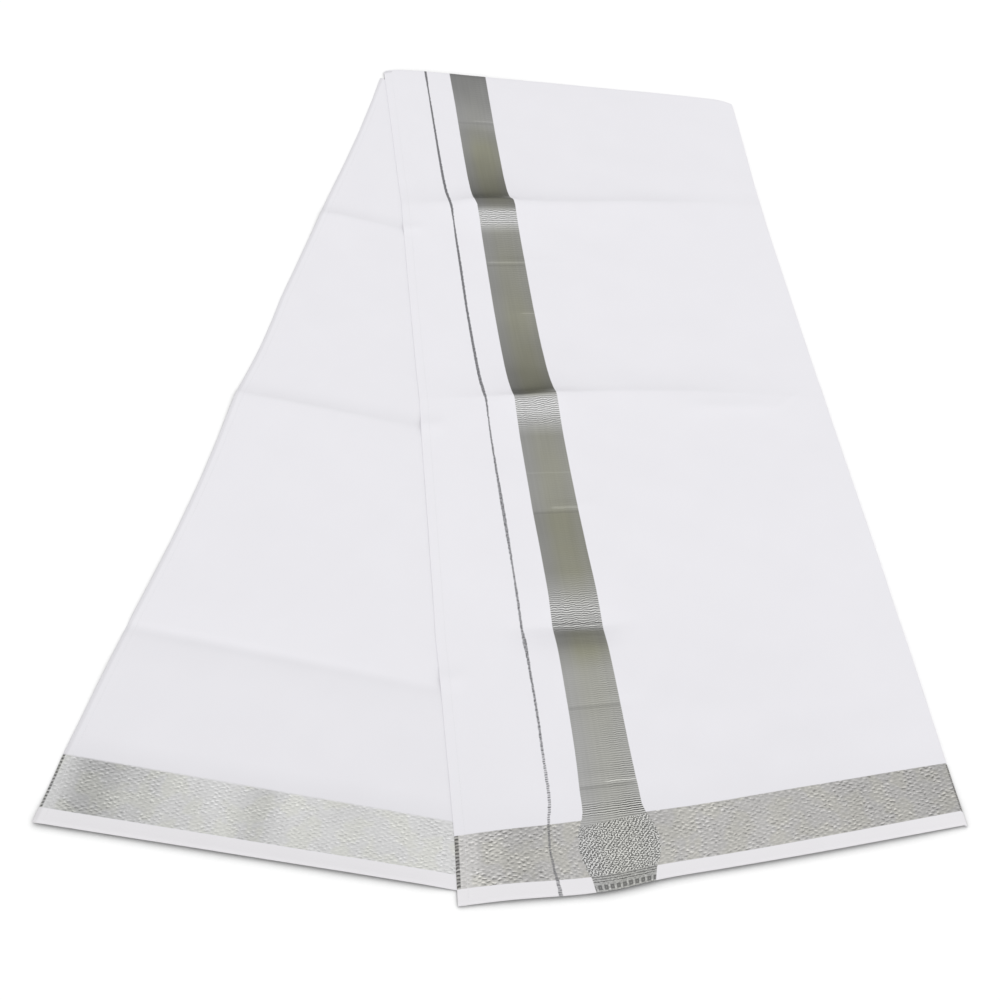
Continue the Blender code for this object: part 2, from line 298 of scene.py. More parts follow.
print(len(TOP_CREASES) + len(UNDER_CREASES), "small creases")

# %% [markdown]
# ## The top leaf as a surface
# A point of the leaf has two addresses: how far it is from the cut end and from the selvedge
# on the folded leaf, and which warp thread it lies on. Pulling and pressing has shifted the
# threads a little, most of all where the heavy silver crossing swells. A third table says where
# the named threads run, and the columns of the mesh follow them. A band is then straight in
# thread numbers and drifts on the table as the real one does.

# %% Where the threads of the top leaf run
LINE_THREAD = 90.0        # the thin silver line
BAND_LEFT = 123.0         # the wide silver band, in thread numbers
BAND_RIGHT = 175.0

Threads = namedtuple("Threads", "along line band_left band_right")
# Most of these rows were found by a measuring program and not chosen by hand, so this table is no
# example to follow. A few rows, at the named sections and creases, would be the better way.
THREAD_LINES = table(
    Threads,
    (0, 93, 125.5, 181), (12, 91.5, 123, 184), (20, 89.5, 119, 188), (30, 88.2, 115.5, 191),
    (40, 86.8, 113.5, 190), (53, 87.2, 114.5, 186), (62, 87.5, 119, 180.5),
    (70, 88.6, 121.2, 178.2), (78, 90.9, 121.4, 177.8), (86, 91.4, 121.2, 177.5),
    (95, 91.7, 121.4, 176.8), (112, 91.2, 122, 176), (131, 91, 122.2, 175.2),
    (168, 90.7, 121.8, 174.1), (210, 89.4, 120.8, 172.5), (240, 88.5, 120.2, 171.8),
    (266, 87.3, 119.2, 171.3), (300, 86.2, 118.9, 169.8), (345, 84.6, 117, 167.1),
    (403, 82.2, 114.3, 164.5), (450, 80.1, 113, 163), (500, 78.3, 111.4, 161.6),
    (552, 77.3, 111, 160.8), (563, 75.9, 109.5, 159.7), (585, 73.4, 106.8, 157.2),
    (605, 72.2, 105.4, 155.7), (640, 70.5, 103.9, 153.8), (700, 68.2, 102.1, 151.9),
    (770, 67, 101, 150.7), (820, 65.8, 100.3, 150), (847, 65.5, 100.2, 149.6),
    (870, 65, 99.4, 149.7), (878, 64, 97, 148.6), (882, 63.4, 95.8, 145), (900, 60.4, 93.9, 142.7),
    (925, 59.1, 92.8, 141.6), (965, 58.2, 92.2, 141.1), (1000, 57.8, 91.9, 140.6),
    (1060, 57, 91.6, 140.5), (1124, 56.2, 90.4, 140.6),
)


def thread_place(thread, along):
    """Distance from the cut end of a warp thread, at each distance from the selvedge."""
    named = read(THREAD_LINES, along, "along", "line", "band_left", "band_right")
    knots = [0.0, LINE_THREAD, BAND_LEFT, BAND_RIGHT, LEAF_WIDTH]
    places = [np.zeros_like(along), *named, np.full_like(along, LEAF_WIDTH)]
    out = np.zeros(np.broadcast(thread, along).shape)
    for low, high, start, finish in zip(knots, knots[1:], places, places[1:]):
        here = (thread >= low) & (thread <= high)
        out = np.where(here, start + (finish - start) * (thread - low) / (high - low), out)
    return out


left_side = thread_place(BAND_LEFT, np.array([131.0, 1000.0]))
print("the band starts", *left_side.round(1), "mm from the cut end, near the selvedge and far up")

# %% Plan and height of the top leaf
SWELL_AT, SWELL_LEFT, SWELL_RIGHT = 133.0, 70.0, 42.0    # its middle and its two half widths
SWELL_OUT, SWELL_FADES = 5.1, 90.0    # how far it pushes the near edge out, and how far up it goes
EDGE_BOW = 5.0            # how far the near edge bows out between its two corners
LEFT_CORNER_RUN, LEFT_CORNER_DROP = 24.0, 5.0    # a far corner drops back this much over its run
RIGHT_CORNER_RUN, RIGHT_CORNER_DROP = 26.0, 7.0


def on_line(sections, along, part):
    """X and Y at a part of the way across the leaf, for each distance from the selvedge."""
    at = list(stations(sections).values())
    left_x, left_y, right_x, right_y = (
        np.interp(along, at, [getattr(section, field) for section in sections])
        for field in ("left_x", "left_y", "right_x", "right_y"))
    return left_x + (right_x - left_x) * part, left_y + (right_y - left_y) * part


def calmed(section, along, across):
    """How much of its form a crease keeps, and how far it has slipped, at a place on the leaf."""
    rows = [row for row in CALMED if row.section == section]
    keep, slip = read(rows, across, "across", "keep", "slip")
    return keep, slip * np.exp(-(((along - TOP_AT[section]) / SLIP_REACH) ** 2))


def top_surface(along, across):
    """The outer face of the top leaf, in millimetres."""
    x, y = on_line(TOP_SECTIONS, along, across / LEAF_WIDTH)
    half = np.where(across < SWELL_AT, SWELL_LEFT, SWELL_RIGHT)
    bell = SWELL_OUT * np.exp(-(((across - SWELL_AT) / half) ** 2))
    bow = EDGE_BOW * np.sin(math.pi * across / LEAF_WIDTH)
    y = y - (bell + bow) * np.clip(1 - along / SWELL_FADES, 0, 1)
    left = LEFT_CORNER_DROP * np.clip(1 - across / LEFT_CORNER_RUN, 0, 1) ** 2
    right = RIGHT_CORNER_DROP * np.clip(1 - (LEAF_WIDTH - across) / RIGHT_CORNER_RUN, 0, 1) ** 2
    y = y - (left + right) * np.clip(1 - (TOP_AT["far_fold"] - along) / SWELL_FADES, 0, 1)
    seat, share = read(TOP_COLUMNS, across, "across", "seat", "share")
    pressed = profile(TOP_HEIGHTS, TOP_AT, along) + 0 * across
    for section, (before, after) in CREASE_REACH.items():
        low, high = TOP_AT[section] + before, TOP_AT[section] + after
        ends = profile(TOP_HEIGHTS, TOP_AT, np.array([low, high]))
        bridged = np.interp(along, [low, high], ends)
        keep, slip = calmed(section, along, across)
        inside = (along > low) & (along < high)
        pressed = np.where(inside, bridged + (pressed - bridged) * keep, pressed)
        y = y + slip
    z = seat + pressed * share
    z = z + creased(TOP_CREASES, along, across) + uneven(along, across) * share
    return x, y, z


crest = top_surface(np.array([TOP_AT["middle_ridge"]]), np.array([LEAF_WIDTH / 2]))
print("the middle ridge stands", round(float(crest[2][0]), 1), "mm high halfway across the leaf")

# %% [markdown]
# ## A sheet from rows and columns
# Both leaves are grids: rows run from the selvedge to the far fold, and stand close together
# where the cloth turns sharply. A Grid primitive would give even squares, so the points are
# worked out with numpy and handed to Blender as one mesh, with a UV map in metres of cloth. A
# Solidify modifier then gives the sheet its thickness, below the face that shows.

# %% Mesh helpers
def spaced(*stretches):
    """Distances that cover the stretches, each given by its start, its finish and its step."""
    places = [np.arange(start, finish - 0.01, step) for start, finish, step in stretches]
    return np.concatenate([*places, [stretches[-1][1]]])


def new_piece(name, points, faces, material, cloth_uv=None):
    """A smooth mesh from points in millimetres, with its place on the cloth as a UV map."""
    mesh = bpy.data.meshes.new(name)
    mesh.from_pydata((points * MM).tolist(), [], faces)
    if cloth_uv is not None:
        layer = mesh.uv_layers.new(name="cloth")
        layer.data.foreach_set("uv", (cloth_uv[np.ravel(faces)] * MM).ravel())
    mesh.materials.append(material)
    mesh.validate()
    mesh.shade_smooth()
    piece = bpy.data.objects.new(name, mesh)
    bpy.context.scene.collection.objects.link(piece)
    return piece


def grid_faces(number):
    """The four-cornered faces of a grid of numbered points, anticlockwise from above."""
    corners = (number[:-1, :-1], number[:-1, 1:], number[1:, 1:], number[1:, :-1])
    return np.stack([corner.ravel() for corner in corners], axis=1)


def sheet_mesh(name, points, cloth_uv, material, thickness=CLOTH):
    """One cloth piece from a grid of points, rows x columns x 3, in millimetres."""
    rows, columns, _ = points.shape
    faces = grid_faces(np.arange(rows * columns).reshape(rows, columns)).tolist()
    piece = new_piece(name, points.reshape(-1, 3), faces, material, cloth_uv.reshape(-1, 2))
    bpy.ops.object.select_all(action="DESELECT")
    piece.select_set(True)
    bpy.context.view_layer.objects.active = piece
    wall = piece.modifiers.new("wall", "SOLIDIFY")
    wall.thickness = thickness * MM
    wall.offset = -1.0
    bpy.ops.object.modifier_apply(modifier=wall.name)
    for vertex in piece.data.vertices:
        vertex.co.z = max(vertex.co.z, ON_TABLE * MM)
    print(name, len(piece.data.polygons), "faces")
    return piece


def dress(piece, slot, *nodes):
    """Lets a piece ride with the cloth and stand for its solids."""
    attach(piece, "root")
    if nodes:
        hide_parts(*nodes)
    return piece


# %% [markdown]
# ## Shader maths in plain Python
# The silver bands are woven, so their look is arithmetic on thread and pick numbers: ribs are
# a sine, a lattice is two slanted sines. Written as nodes that is a wall of boxes. One small
# class lets Python's own operators add the Math nodes, and one method makes any other node.

# %% A material's board of nodes
MIX_FACTOR, MIX_A, MIX_B, MIX_RESULT = 0, 6, 7, 2    # places of the Mix node's colour sockets


class Tone:
    """A socket of a node, which Python's operators turn into the next Math node."""

    def __init__(self, board, socket):
        self.board = board
        self.socket = socket

    def __add__(self, other):
        return self.board.math("ADD", self, other)

    def __sub__(self, other):
        return self.board.math("SUBTRACT", self, other)

    def __rsub__(self, other):
        return self.board.math("SUBTRACT", other, self)

    def __mul__(self, other):
        return self.board.math("MULTIPLY", self, other)

    def __truediv__(self, other):
        return self.board.math("DIVIDE", self, other)

    def __abs__(self):
        return self.board.math("ABSOLUTE", self)

    __radd__ = __add__
    __rmul__ = __mul__


class Board:
    """The nodes of one material or world, which grow as the expressions ask for them."""

    def __init__(self, name, kind="materials", shader="Principled BSDF"):
        self.owner = getattr(bpy.data, kind).new(name)
        self.owner.use_nodes = True
        self.tree = self.owner.node_tree
        self.shader = self.tree.nodes[shader]

    def node(self, kind, settings=None, sockets=None):
        """Any node: its settings are made first, then its sockets are filled or linked."""
        made = self.tree.nodes.new(kind)
        for name, value in (settings or {}).items():
            if name == "stops":
                set_stops(made.color_ramp, value)
            else:
                setattr(made, name, value)
        for name, value in (sockets or {}).items():
            self.feed(made.inputs[name], value)
        return made

    def feed(self, entry, value):
        """Links a Tone to a socket, or sets the socket to a plain value."""
        if isinstance(value, Tone):
            self.tree.links.new(value.socket, entry)
        elif isinstance(value, tuple):
            entry.default_value = value[: len(entry.default_value)]
        else:
            entry.default_value = value

    def math(self, operation, *values):
        """One Math node."""
        made = self.node("ShaderNodeMath", {"operation": operation}, dict(enumerate(values)))
        return Tone(self, made.outputs[0])

    def mix(self, factor, first, second):
        """A colour between two others."""
        made = self.node("ShaderNodeMix", {"data_type": "RGBA"},
                         {MIX_FACTOR: factor, MIX_A: first, MIX_B: second})
        return Tone(self, made.outputs[MIX_RESULT])

    def brighter(self, colour, amount):
        """A colour times a number."""
        made = self.node("ShaderNodeVectorMath", {"operation": "SCALE"},
                         {0: colour, "Scale": amount})
        return Tone(self, made.outputs[0])

    def step(self, value, low, high, start=0.0, finish=1.0):
        """The start below low, the finish above high, and a soft change between."""
        made = self.node("ShaderNodeMapRange", {"interpolation_type": "SMOOTHSTEP"},
                         {"Value": value, "From Min": low, "From Max": high,
                          "To Min": start, "To Max": finish})
        return Tone(self, made.outputs["Result"])

    def between(self, value, low, high, soft=0.4):
        """1 from low to high, with soft ends."""
        rise = self.step(value, low - soft, low + soft)
        return rise * self.step(value, high - soft, high + soft, 1, 0)

    def wave(self, value, length):
        """A sine of the given length, from -1 to 1."""
        return self.math("SINE", value * (2 * math.pi / length))

    def by_table(self, value, end, pairs):
        """A number read from (place, value) pairs, for a value from 0 to end."""
        stops = [(place / end, (level, level, level, 1.0)) for place, level in pairs]
        made = self.node("ShaderNodeValToRGB", {"stops": stops}, {"Fac": value / end})
        return self.math("ADD", Tone(self, made.outputs["Color"]), 0.0)

    def noise(self, u, v, size, detail=2.0):
        """Soft random blotches of a size in millimetres, stretched with u and v."""
        place = self.node("ShaderNodeCombineXYZ", None, {"X": u, "Y": v})
        made = self.node("ShaderNodeTexNoise", {"noise_dimensions": "2D"},
                         {"Vector": Tone(self, place.outputs[0]), "Scale": 1.0 / size,
                          "Detail": detail})
        return Tone(self, made.outputs["Fac"])

    def wander(self, u, v, size, pull=1.0, detail=2.0):
        """A slow drift to both sides, half the pull at most each way."""
        return (self.noise(u, v, size, detail) - 0.5) * pull

    def finish(self, **sockets):
        """Fills the shader's sockets, which are named in small letters, and gives the material."""
        for name, value in sockets.items():
            self.feed(self.shader.inputs[name.replace("_", " ").title()], value)
        return self.owner


def set_stops(ramp, stops):
    """Gives a colour ramp its stops, as (position, colour) pairs."""
    while len(ramp.elements) > 1:
        ramp.elements.remove(ramp.elements[-1])
    for number, (position, colour) in enumerate(stops):
        element = ramp.elements[0] if number == 0 else ramp.elements.new(position)
        element.position = position
        element.color = colour


# %% [markdown]
# ## The weave
# All of the cloth's looks hang on two numbers: the thread, counted in millimetres from the cut
# end, and the pick, counted from the selvedge. The ground is plain white cotton. The border
# along the selvedge is a small lattice of silver floats, the wide band is ribbed, and where
# they cross the floats turn into a steep twill with a row of small boxes below it. A painted
# image would give all this too, but it would blur close up, and a weave is a rule, not a picture.

# %% Colours and sizes of the weave
WHITE = (0.796, 0.788, 0.822, 1.0)
# the same white cotton with painted shade, for the hidden layers below the top leaf
WHITE_IN_SHADE = (0.74, 0.73, 0.77, 1.0)
SILVER_COOL = (0.372, 0.372, 0.371, 1.0)
SILVER_WARM = (0.372, 0.370, 0.290, 1.0)
STRIP_WHITE = (0.794, 0.781, 0.802, 1.0)
TOP_SILVERS = ((0.560, 0.551, 0.542, 1.0), (0.568, 0.558, 0.526, 1.0))
UNDER_SILVERS = ((0.556, 0.556, 0.556, 1.0), (0.560, 0.562, 0.538, 1.0))
LINE_GREY = (0.16, 0.16, 0.17, 1.0)
BORDER_HEAD, UNDER_BORDER_HEAD = 64.5, 68.8    # the far edge of the border on each leaf
PLAIN_STRIP, UNDER_PLAIN_STRIP = 14.5, 15.2    # plain cotton between selvedge and border
LEAF_LENGTH = 1132.0      # selvedge to far fold on the longer leaf, and a little over

# %% How the press has left the wide band, and its painted reflection and shade
# The tables in this cell were matched, step by step, to measured tones.
# From the selvedge up: how light the band is, which is painted reflection and shade of the silver
# at the creases, how strongly its ribs show, and how warm it looks. Beside each crease the threads
# stand open and catch the light.
Press = namedtuple("Press", "along light ribs warm")
PRESSED = table(
    Press,
    (0, 1.04, 0.8, 0.2), (62, 1.05, 1.9, 0.25), (73, 1.03, 1.7, 0.25), (80, 1.02, 0.95, 0.25),
    (206, 0.96, 0.4, 0.45), (232, 0.80, 0.3, 1.0), (256, 0.82, 0.3, 0.7), (262, 0.94, 1.3, 0.1),
    (284, 1.22, 1.4, 0.1), (300, 0.94, 0.8, 0.4), (324, 0.75, 0.25, 0.95), (394, 0.74, 0.1, 1.0),
    (402, 0.85, 0.2, 0.7), (440, 0.91, 0.1, 0.7), (500, 0.83, 0.1, 0.6), (520, 1.16, 1.1, 0.1),
    (534, 1.48, 1.25, 0.0), (551, 1.40, 1.2, 0.0), (557, 0.82, 0.1, 0.6), (566, 0.64, 0.1, 1.0),
    (600, 0.635, 0.1, 1.0), (680, 0.835, 0.1, 0.82), (824, 0.84, 0.3, 0.5), (842, 1.46, 1.1, 0.0),
    (858, 1.40, 1.1, 0.0), (868, 0.48, 0.2, 0.5), (882, 0.54, 0.05, 0.9), (930, 0.74, 0.05, 1.1),
    (980, 0.89, 0.05, 1.0), (1012, 0.93, 0.1, 0.5), (1026, 1.06, 0.1, 0.2), (1118, 0.77, 0.1, 0.1),
)
# Single lines that a fold has left in the band: a painted highlight where a rib stands up, painted
# shade where one sank.
Mark = namedtuple("Mark", "along light half_width start finish")
PAINTED_FOLD_LINES = table(
    Mark,
    (1031, 0.20, 0.9, 146, 176), (1026, -0.10, 1.6, 122, 176), (774, 0.28, 0.8, 126, 176),
    (769, -0.10, 1.6, 122, 176), (690, 0.24, 0.7, 158, 176), (450, 0.10, 1.0, 122, 176),
    (403, 0.20, 1.2, 146, 176), (397, -0.10, 1.5, 122, 176), (267, -0.42, 0.6, 122, 176),
    (265.4, 0.40, 0.6, 122, 176), (169, -0.14, 1.8, 122, 176), (96, 0.50, 0.6, 148, 176),
    (92, -0.16, 1.6, 122, 172),
)
# From the cut end across the leaf: how light the silver border is, as painted sheen, how clearly
# its floats show, and how far it has been drawn towards the selvedge.
Shine = namedtuple("Shine", "across light floats drawn")
TOP_SHINE = table(
    Shine,
    (0, 1.03, 0.40, -1.4), (16, 1.02, 0.40, -1.3), (24, 0.87, 0.44, -1.0), (38, 0.88, 0.46, -0.6),
    (48, 0.78, 0.46, -0.2), (68, 0.76, 0.46, 0.4), (80, 0.82, 0.44, 0.9), (102, 0.82, 0.32, 1.2),
    (120, 0.83, 0.32, 1.5), (190, 0.83, 0.35, 3.4), (215, 0.87, 0.36, 3.8), (250, 0.84, 0.36, 3.7),
    (300, 0.83, 0.34, 3.0), (350, 0.82, 0.38, 2.2), (368, 0.77, 0.42, 2.0), (420, 0.76, 0.42, 1.2),
    (450, 0.75, 0.42, 0.7), (476, 0.73, 0.48, 0.3),
)
UNDER_SHINE = table(
    Shine,
    (0, 1.10, 0.24, 0), (12, 1.02, 0.27, 0), (20, 0.88, 0.30, 0), (28, 0.80, 0.32, 0),
    (36, 0.765, 0.32, 0), (52, 0.79, 0.32, 0), (60, 0.84, 0.34, 0), (76, 0.96, 0.30, 0),
    (92, 0.975, 0.28, 0), (100, 0.975, 0.26, 0), (116, 1.06, 0.21, 0), (140, 1.075, 0.21, 0),
    (164, 1.145, 0.22, 0), (180, 1.13, 0.21, 0), (196, 1.03, 0.21, 0), (204, 0.975, 0.22, 0),
    (210, 0.985, 0.22, 0), (218, 1.06, 0.21, 0), (228, 1.13, 0.19, 0), (242, 1.155, 0.19, 0),
    (262, 1.145, 0.19, 0), (278, 1.105, 0.19, 0), (300, 1.10, 0.21, 0), (314, 1.155, 0.19, 0),
    (340, 1.14, 0.21, 0), (420, 1.17, 0.24, 0),
)
# From the selvedge up: half the width of the thin line, which stands on edge here and there.
LINE_HALVES = (
    (0, 1.9), (12, 1.6), (20, 1.15), (66, 1.15), (74, 1.5), (108, 1.45), (130, 1.25),
    (206, 1.15), (230, 1.4), (246, 2.2), (262, 1.2), (300, 1.3), (326, 0.95), (366, 1.6),
    (410, 1.9), (446, 1.4), (526, 0.85), (546, 1.1), (566, 2.0), (640, 1.8), (700, 1.6),
    (766, 1.8), (826, 1.4), (846, 0.95), (866, 1.7), (890, 2.1), (930, 2.0), (990, 1.65),
    (1050, 1.45), (1074, 1.15), (1090, 1.2), (1110, 1.9),
)
# Faint painted shade in the cotton's colour along each crease and fold of a leaf, where the slope
# gets less light, and by the selvedge and the border's head.
Shade = namedtuple("Shade", "section past dark")
TOP_SHADES = by_section(
    Shade,
    selvedge=((0, 0.045), (13, 0.045), (16, 0.03)),
    border_head=((2, 0.055), (28, 0.035)),
    valley=((-95, 0.022), (55, 0.004)),
    middle_ridge=((-4, 0.002), (2, 0.012), (26, 0.010), (50, 0.002)),
    upper_ridge=((-6, 0.004), (3, 0.030), (12, 0.026), (32, 0.010)),
    far_fold=((-60, 0.010), (0, 0.012)),
)
UNDER_SHADES = by_section(
    Shade,
    selvedge=((0, 0.058), (13, 0.058), (18, 0.05)),
    border_head=((1, 0.092), (25, 0.046)),
    valley=((-45, 0.036), (-15, 0.042), (-3, 0.058), (2, 0.016), (120, 0.012)),
    middle_ridge=((-35, 0.010), (-1, 0.014), (2, 0.050), (9, 0.040), (24, 0.012)),
    upper_ridge=((-4, 0.012), (0, 0.050), (7, 0.040), (22, 0.012)),
    far_fold=((0, 0.014),),
)
print(len(PRESSED), "rows for the band,", len(PAINTED_FOLD_LINES), "fold marks")

# %% [markdown]
# ## The lattice of the border
# A silver float shows as a short light dash with a dark slot of painted shadow on its near side,
# and the dashes stand like bricks. Two slanted sines multiplied give such a lattice. The real one
# was never even: it is pulled about a little, and it shows strongly in one place and hardly in
# the next, so one noise moves the lattice and another changes its strength.

# %% The border's floats
Look = namedtuple("Look", "tone metal height")    # what a weave gives the shader
LATTICE_WIDE, LATTICE_TALL = 9.6, 4.3
PULLED_OVER = 7.0         # the lattice is pulled about over this distance
SWAY, SLIP = 3.6, 6.5     # up the leaf, and across it
FLOAT_SHADOW_BELOW = 1.15         # each float has its painted shadow this far below it
FLOAT_SHADOW_EDGE, FLOAT_EDGE = 0.34, 0.40    # the levels at which a float's painted shadow and a float begin
FLOAT_TOP = 0.9           # the level at which both are at their fullest
SHOWN_OVER = 13.0         # the lattice comes and goes over this distance
FAINT, STRONG = 0.42, 1.32
BORDER_METAL, BAND_METAL, LINE_METAL = 0.62, 0.86, 0.4


def lattice_weave(board, u, v, strength):
    """The lattice of short silver floats along the selvedge."""
    speck = board.noise(u * 0.55, v, 2.2, detail=3.0)
    sway = board.wander(u, v, PULLED_OVER, SWAY)
    slip = board.wander(v, u, PULLED_OVER, SLIP)
    shown = board.step(board.noise(u, v, SHOWN_OVER), 0.34, 0.66, FAINT, STRONG)

    def floats(at, edge):
        """One set of dashes, brick-laid."""
        across = (u + slip) / LATTICE_WIDE
        rising = board.math("SINE", (across + at / LATTICE_TALL) * math.pi)
        falling = board.math("SINE", (across - at / LATTICE_TALL) * math.pi)
        return board.step(abs(rising * falling), edge, FLOAT_TOP)

    light = floats(v + sway, FLOAT_EDGE)
    # each float's painted shadow: a dark dash just below it
    dark = floats(v + sway + FLOAT_SHADOW_BELOW, FLOAT_SHADOW_EDGE)
    dashes = (light * 0.95 - dark * 1.1) * shown * board.step(speck, 0.34, 0.60, 0.40, 1.0)
    tone = 1.02 + dashes * strength * 1.05 + (speck - 0.5) * (strength + 0.08)
    return Look(tone, BORDER_METAL, light * 0.05)


print("one step of the lattice is", LATTICE_WIDE, "by", LATTICE_TALL, "mm")

# %% [markdown]
# ## The ribbed band
# The wide band is warp silver held down by every few picks, so it is ribbed across. Where the
# cloth was folded the ribs stand apart and glitter, the glitter being painted glints, and
# elsewhere they close up. The table of presses says where, and a slow noise bends the ribs,
# since no silver thread lies quite level.

# %% The band's ribs
RIB, RIBS_WIDEN = 1.88, 0.00025    # one rib, and how much wider the ribs are up the leaf
SECOND_RIB = 1.27                  # a weaker rib, this much finer, makes the first uneven
OPEN_BY_BORDER = (67, 80)          # the first ribs past the border stand open
GLINT_FROM, PATCHY_FROM = (60, 70), (76, 86)
PATCHY_UP_TO = (200, 250)          # the ribs show in patches up to here, and past it all across
BENT_FROM = (100, 240)             # the ribs run fairly level up to here, and past it they bend
MARK_WANDERS = (9.0, 0.9)          # over this distance, a fold's mark wanders so far


def press_table(board, v, column, scale=1.0):
    """One column of the press table, read up the band."""
    rows = [(row.along, getattr(row, column) / scale) for row in PRESSED]
    return board.by_table(v, LEAF_LENGTH, rows) * scale


def ribbed_weave(board, u, v):
    """How far each place of the wide band is lighter or darker than its own tone: its ribs."""
    speck = board.noise(u, v, 3.0)
    bend = board.noise(u, v * 0.6, 8.0) * board.step(v, *BENT_FROM, 1.4, 3.4)
    open_ribs = press_table(board, v, "ribs", 2.0)
    level = v + bend
    count = level * (1 - level * RIBS_WIDEN)
    ribs = board.wave(count, RIB) + board.wave(count * SECOND_RIB + bend, RIB) * 0.35
    crisp = board.step(ribs, -0.75, 0.75, -1, 1)
    wide_open = board.step(open_ribs, 0.55, 0.95) * board.step(v, *PATCHY_UP_TO)
    by_border = board.between(v, *OPEN_BY_BORDER, soft=2.0)
    side = board.step(u, BAND_LEFT + 8, BAND_RIGHT - 6, 0.25, 1)
    side = board.math("MAXIMUM", side, wide_open + by_border * 0.6)
    patches = board.step(board.noise(u, v * 0.8, 13.0), 0.38, 0.56) * board.step(v, *PATCHY_FROM)
    patches = patches * board.step(v, *PATCHY_UP_TO, 0.7, 0) + by_border * 0.7 + 1.0
    # painted glints: highlights put into the colour where the open ribs catch the light
    glints = board.step(board.noise(u * 0.3, v, 2.4), 0.56, 0.70) * board.step(ribs, 0.55, 1.1)
    glints = glints * side * open_ribs * (board.step(v, *GLINT_FROM, 0, 0.30) + by_border * 0.45)
    return crisp * open_ribs * side * patches * (0.30 + speck * 0.75 + wide_open * 0.22) + glints


def painted_fold_lines(board, u, v):
    """Painted highlight and shade along the lines that single folds have left in the band."""
    total = 0.0
    v = v + board.wander(u, v, *MARK_WANDERS)
    for mark in PAINTED_FOLD_LINES:
        length = board.between(u, mark.start, mark.finish, soft=4.0)
        low, high = mark.along - mark.half_width, mark.along + mark.half_width
        total = board.between(v, low, high, soft=0.7) * length * mark.light + total
    return total


print("the wide band has about", round((LEAF_LENGTH - BORDER_HEAD) / RIB), "ribs")

# %% [markdown]
# ## Where band and border cross
# Silver lies on silver there, and the floats line up in a steep twill, as fine as salt and
# pepper. Below it come three level lines and a row of small boxes. The twill could be a plain
# wave. A fine noise added before the wave is cut into light and dark breaks each line into
# grains, which is what the eye sees of crossing floats.

# %% The crossing and its boxes
TWILL = 2.75                             # from one twill line to the next
TWILL_ACROSS, TWILL_UP = 0.985, -0.78    # how fast the lines count up across and up the leaf
FINE, FINE_ACROSS, FINE_UP = 1.98, 0.35, 0.94    # the floats that cross the twill lines
DRAGGED_OVER, DRAG = 9.0, 1.9            # the twill is pulled about over this distance, so far
GRAIN = 0.9                              # the grains that break the twill lines
ALL_DARK, ALL_LIGHT = -0.42, 0.38        # the levels at which the grains are cut
BOX = 5.2                                # one of the small boxes by the selvedge
BOX_FLOOR, BOX_TOP = 0.9, 7.8
BOX_WALL, BOX_MIDDLE = (0.64, 1.10), (-1.0, 0.12)    # from the box's centre (0) to its edge (1)
RAGGED = 1.7                             # boxes and level lines are ragged over this distance
LEVEL_LINE = 2.1                         # from one level line above the boxes to the next
TWILL_FLOOR = 14.8                       # the level lines end here, and the twill begins
FRAYED_OVER, FRAY = 2.6, 6.0             # the band's sides are frayed where it crosses the border
SLANT = 3.0                              # the twill reaches this much further up on its right side
HEAD_FADES = (-6.0, -3.5)                # it gives way to the ribs just below the border's head
PATTERN, BOX_PATTERN = 0.42, 0.40        # how strongly the weaves show


def crossing_weave(board, u, v):
    """The twill where the band crosses the border."""
    drag = board.wander(u, v, DRAGGED_OVER, DRAG)
    line = board.wave(u * TWILL_ACROSS + v * TWILL_UP + drag, TWILL)
    fine = board.wave(u * FINE_ACROSS + v * FINE_UP + drag, FINE)
    grain = board.wander(u, v, GRAIN, detail=0.0)
    cut = board.step(line * 0.41 + fine * 0.29 + grain * 3.5, ALL_DARK, ALL_LIGHT, -1, 1)
    corner = board.step(u - (v - 60) * 0.9, BAND_LEFT + 2, BAND_LEFT + 20, 1, 0)
    corner = corner * board.step(v, 40, 54)
    blotch = board.wander(u, v, DRAGGED_OVER, 0.5)
    return cut * (1.68 - corner * 0.62) + blotch - corner * 0.30 + 0.15


def box_row(board, u, v):
    """Three level lines of floats, and the row of small boxes by the selvedge."""
    ragged = board.wander(u, v, RAGGED, detail=1.0)
    middle = (BOX_FLOOR + BOX_TOP) / 2
    from_side = abs(board.math("FRACT", u / BOX) - 0.5) * 2.0
    from_middle = abs(v - middle) / (BOX_TOP - middle)
    ring = board.math("MAXIMUM", from_side, from_middle) + ragged * 0.06
    wall = board.between(ring, *BOX_WALL, soft=0.14)
    speck = board.between(ring, *BOX_MIDDLE, soft=0.12)
    boxes = (wall * 2.1 + speck * 1.5) * (0.74 + ragged * 1.5) - 1.20
    levels = board.wave(v + ragged * 1.6 + 0.4, LEVEL_LINE) * (1.1 + ragged * 1.8) - 0.15
    return boxes + (levels - boxes) * board.step(v, BOX_TOP, BOX_TOP + 0.8)


def band_look(board, u, v, head):
    """The whole of the wide band from end to end, and the mask of its place."""
    fray = board.wander(u, v, FRAYED_OVER, FRAY)
    in_border = board.between(v, PLAIN_STRIP, head, soft=2.0)
    band = board.between(u + fray * in_border, BAND_LEFT, BAND_RIGHT)
    late = board.step(u, BAND_LEFT + 4, BAND_LEFT + 40, 0, SLANT)
    above = board.step(v - late + fray * 0.4, *(head + fade for fade in HEAD_FADES))
    below = board.step(v, TWILL_FLOOR - 0.6, TWILL_FLOOR + 0.6, 1, 0)
    crossing = (1 - above) * (1 - below)
    pattern = ribbed_weave(board, u, v) * above * PATTERN
    pattern = pattern + crossing_weave(board, u, v) * crossing * PATTERN
    pattern = pattern + box_row(board, u, v) * below * BOX_PATTERN
    # the band's painted reflection and shade along the creases, with the painted fold lines
    light = press_table(board, v, "light", 2.0) + painted_fold_lines(board, u, v)
    return Look(light * (1.0 + pattern - below * 0.10), BAND_METAL, pattern * 0.22), band


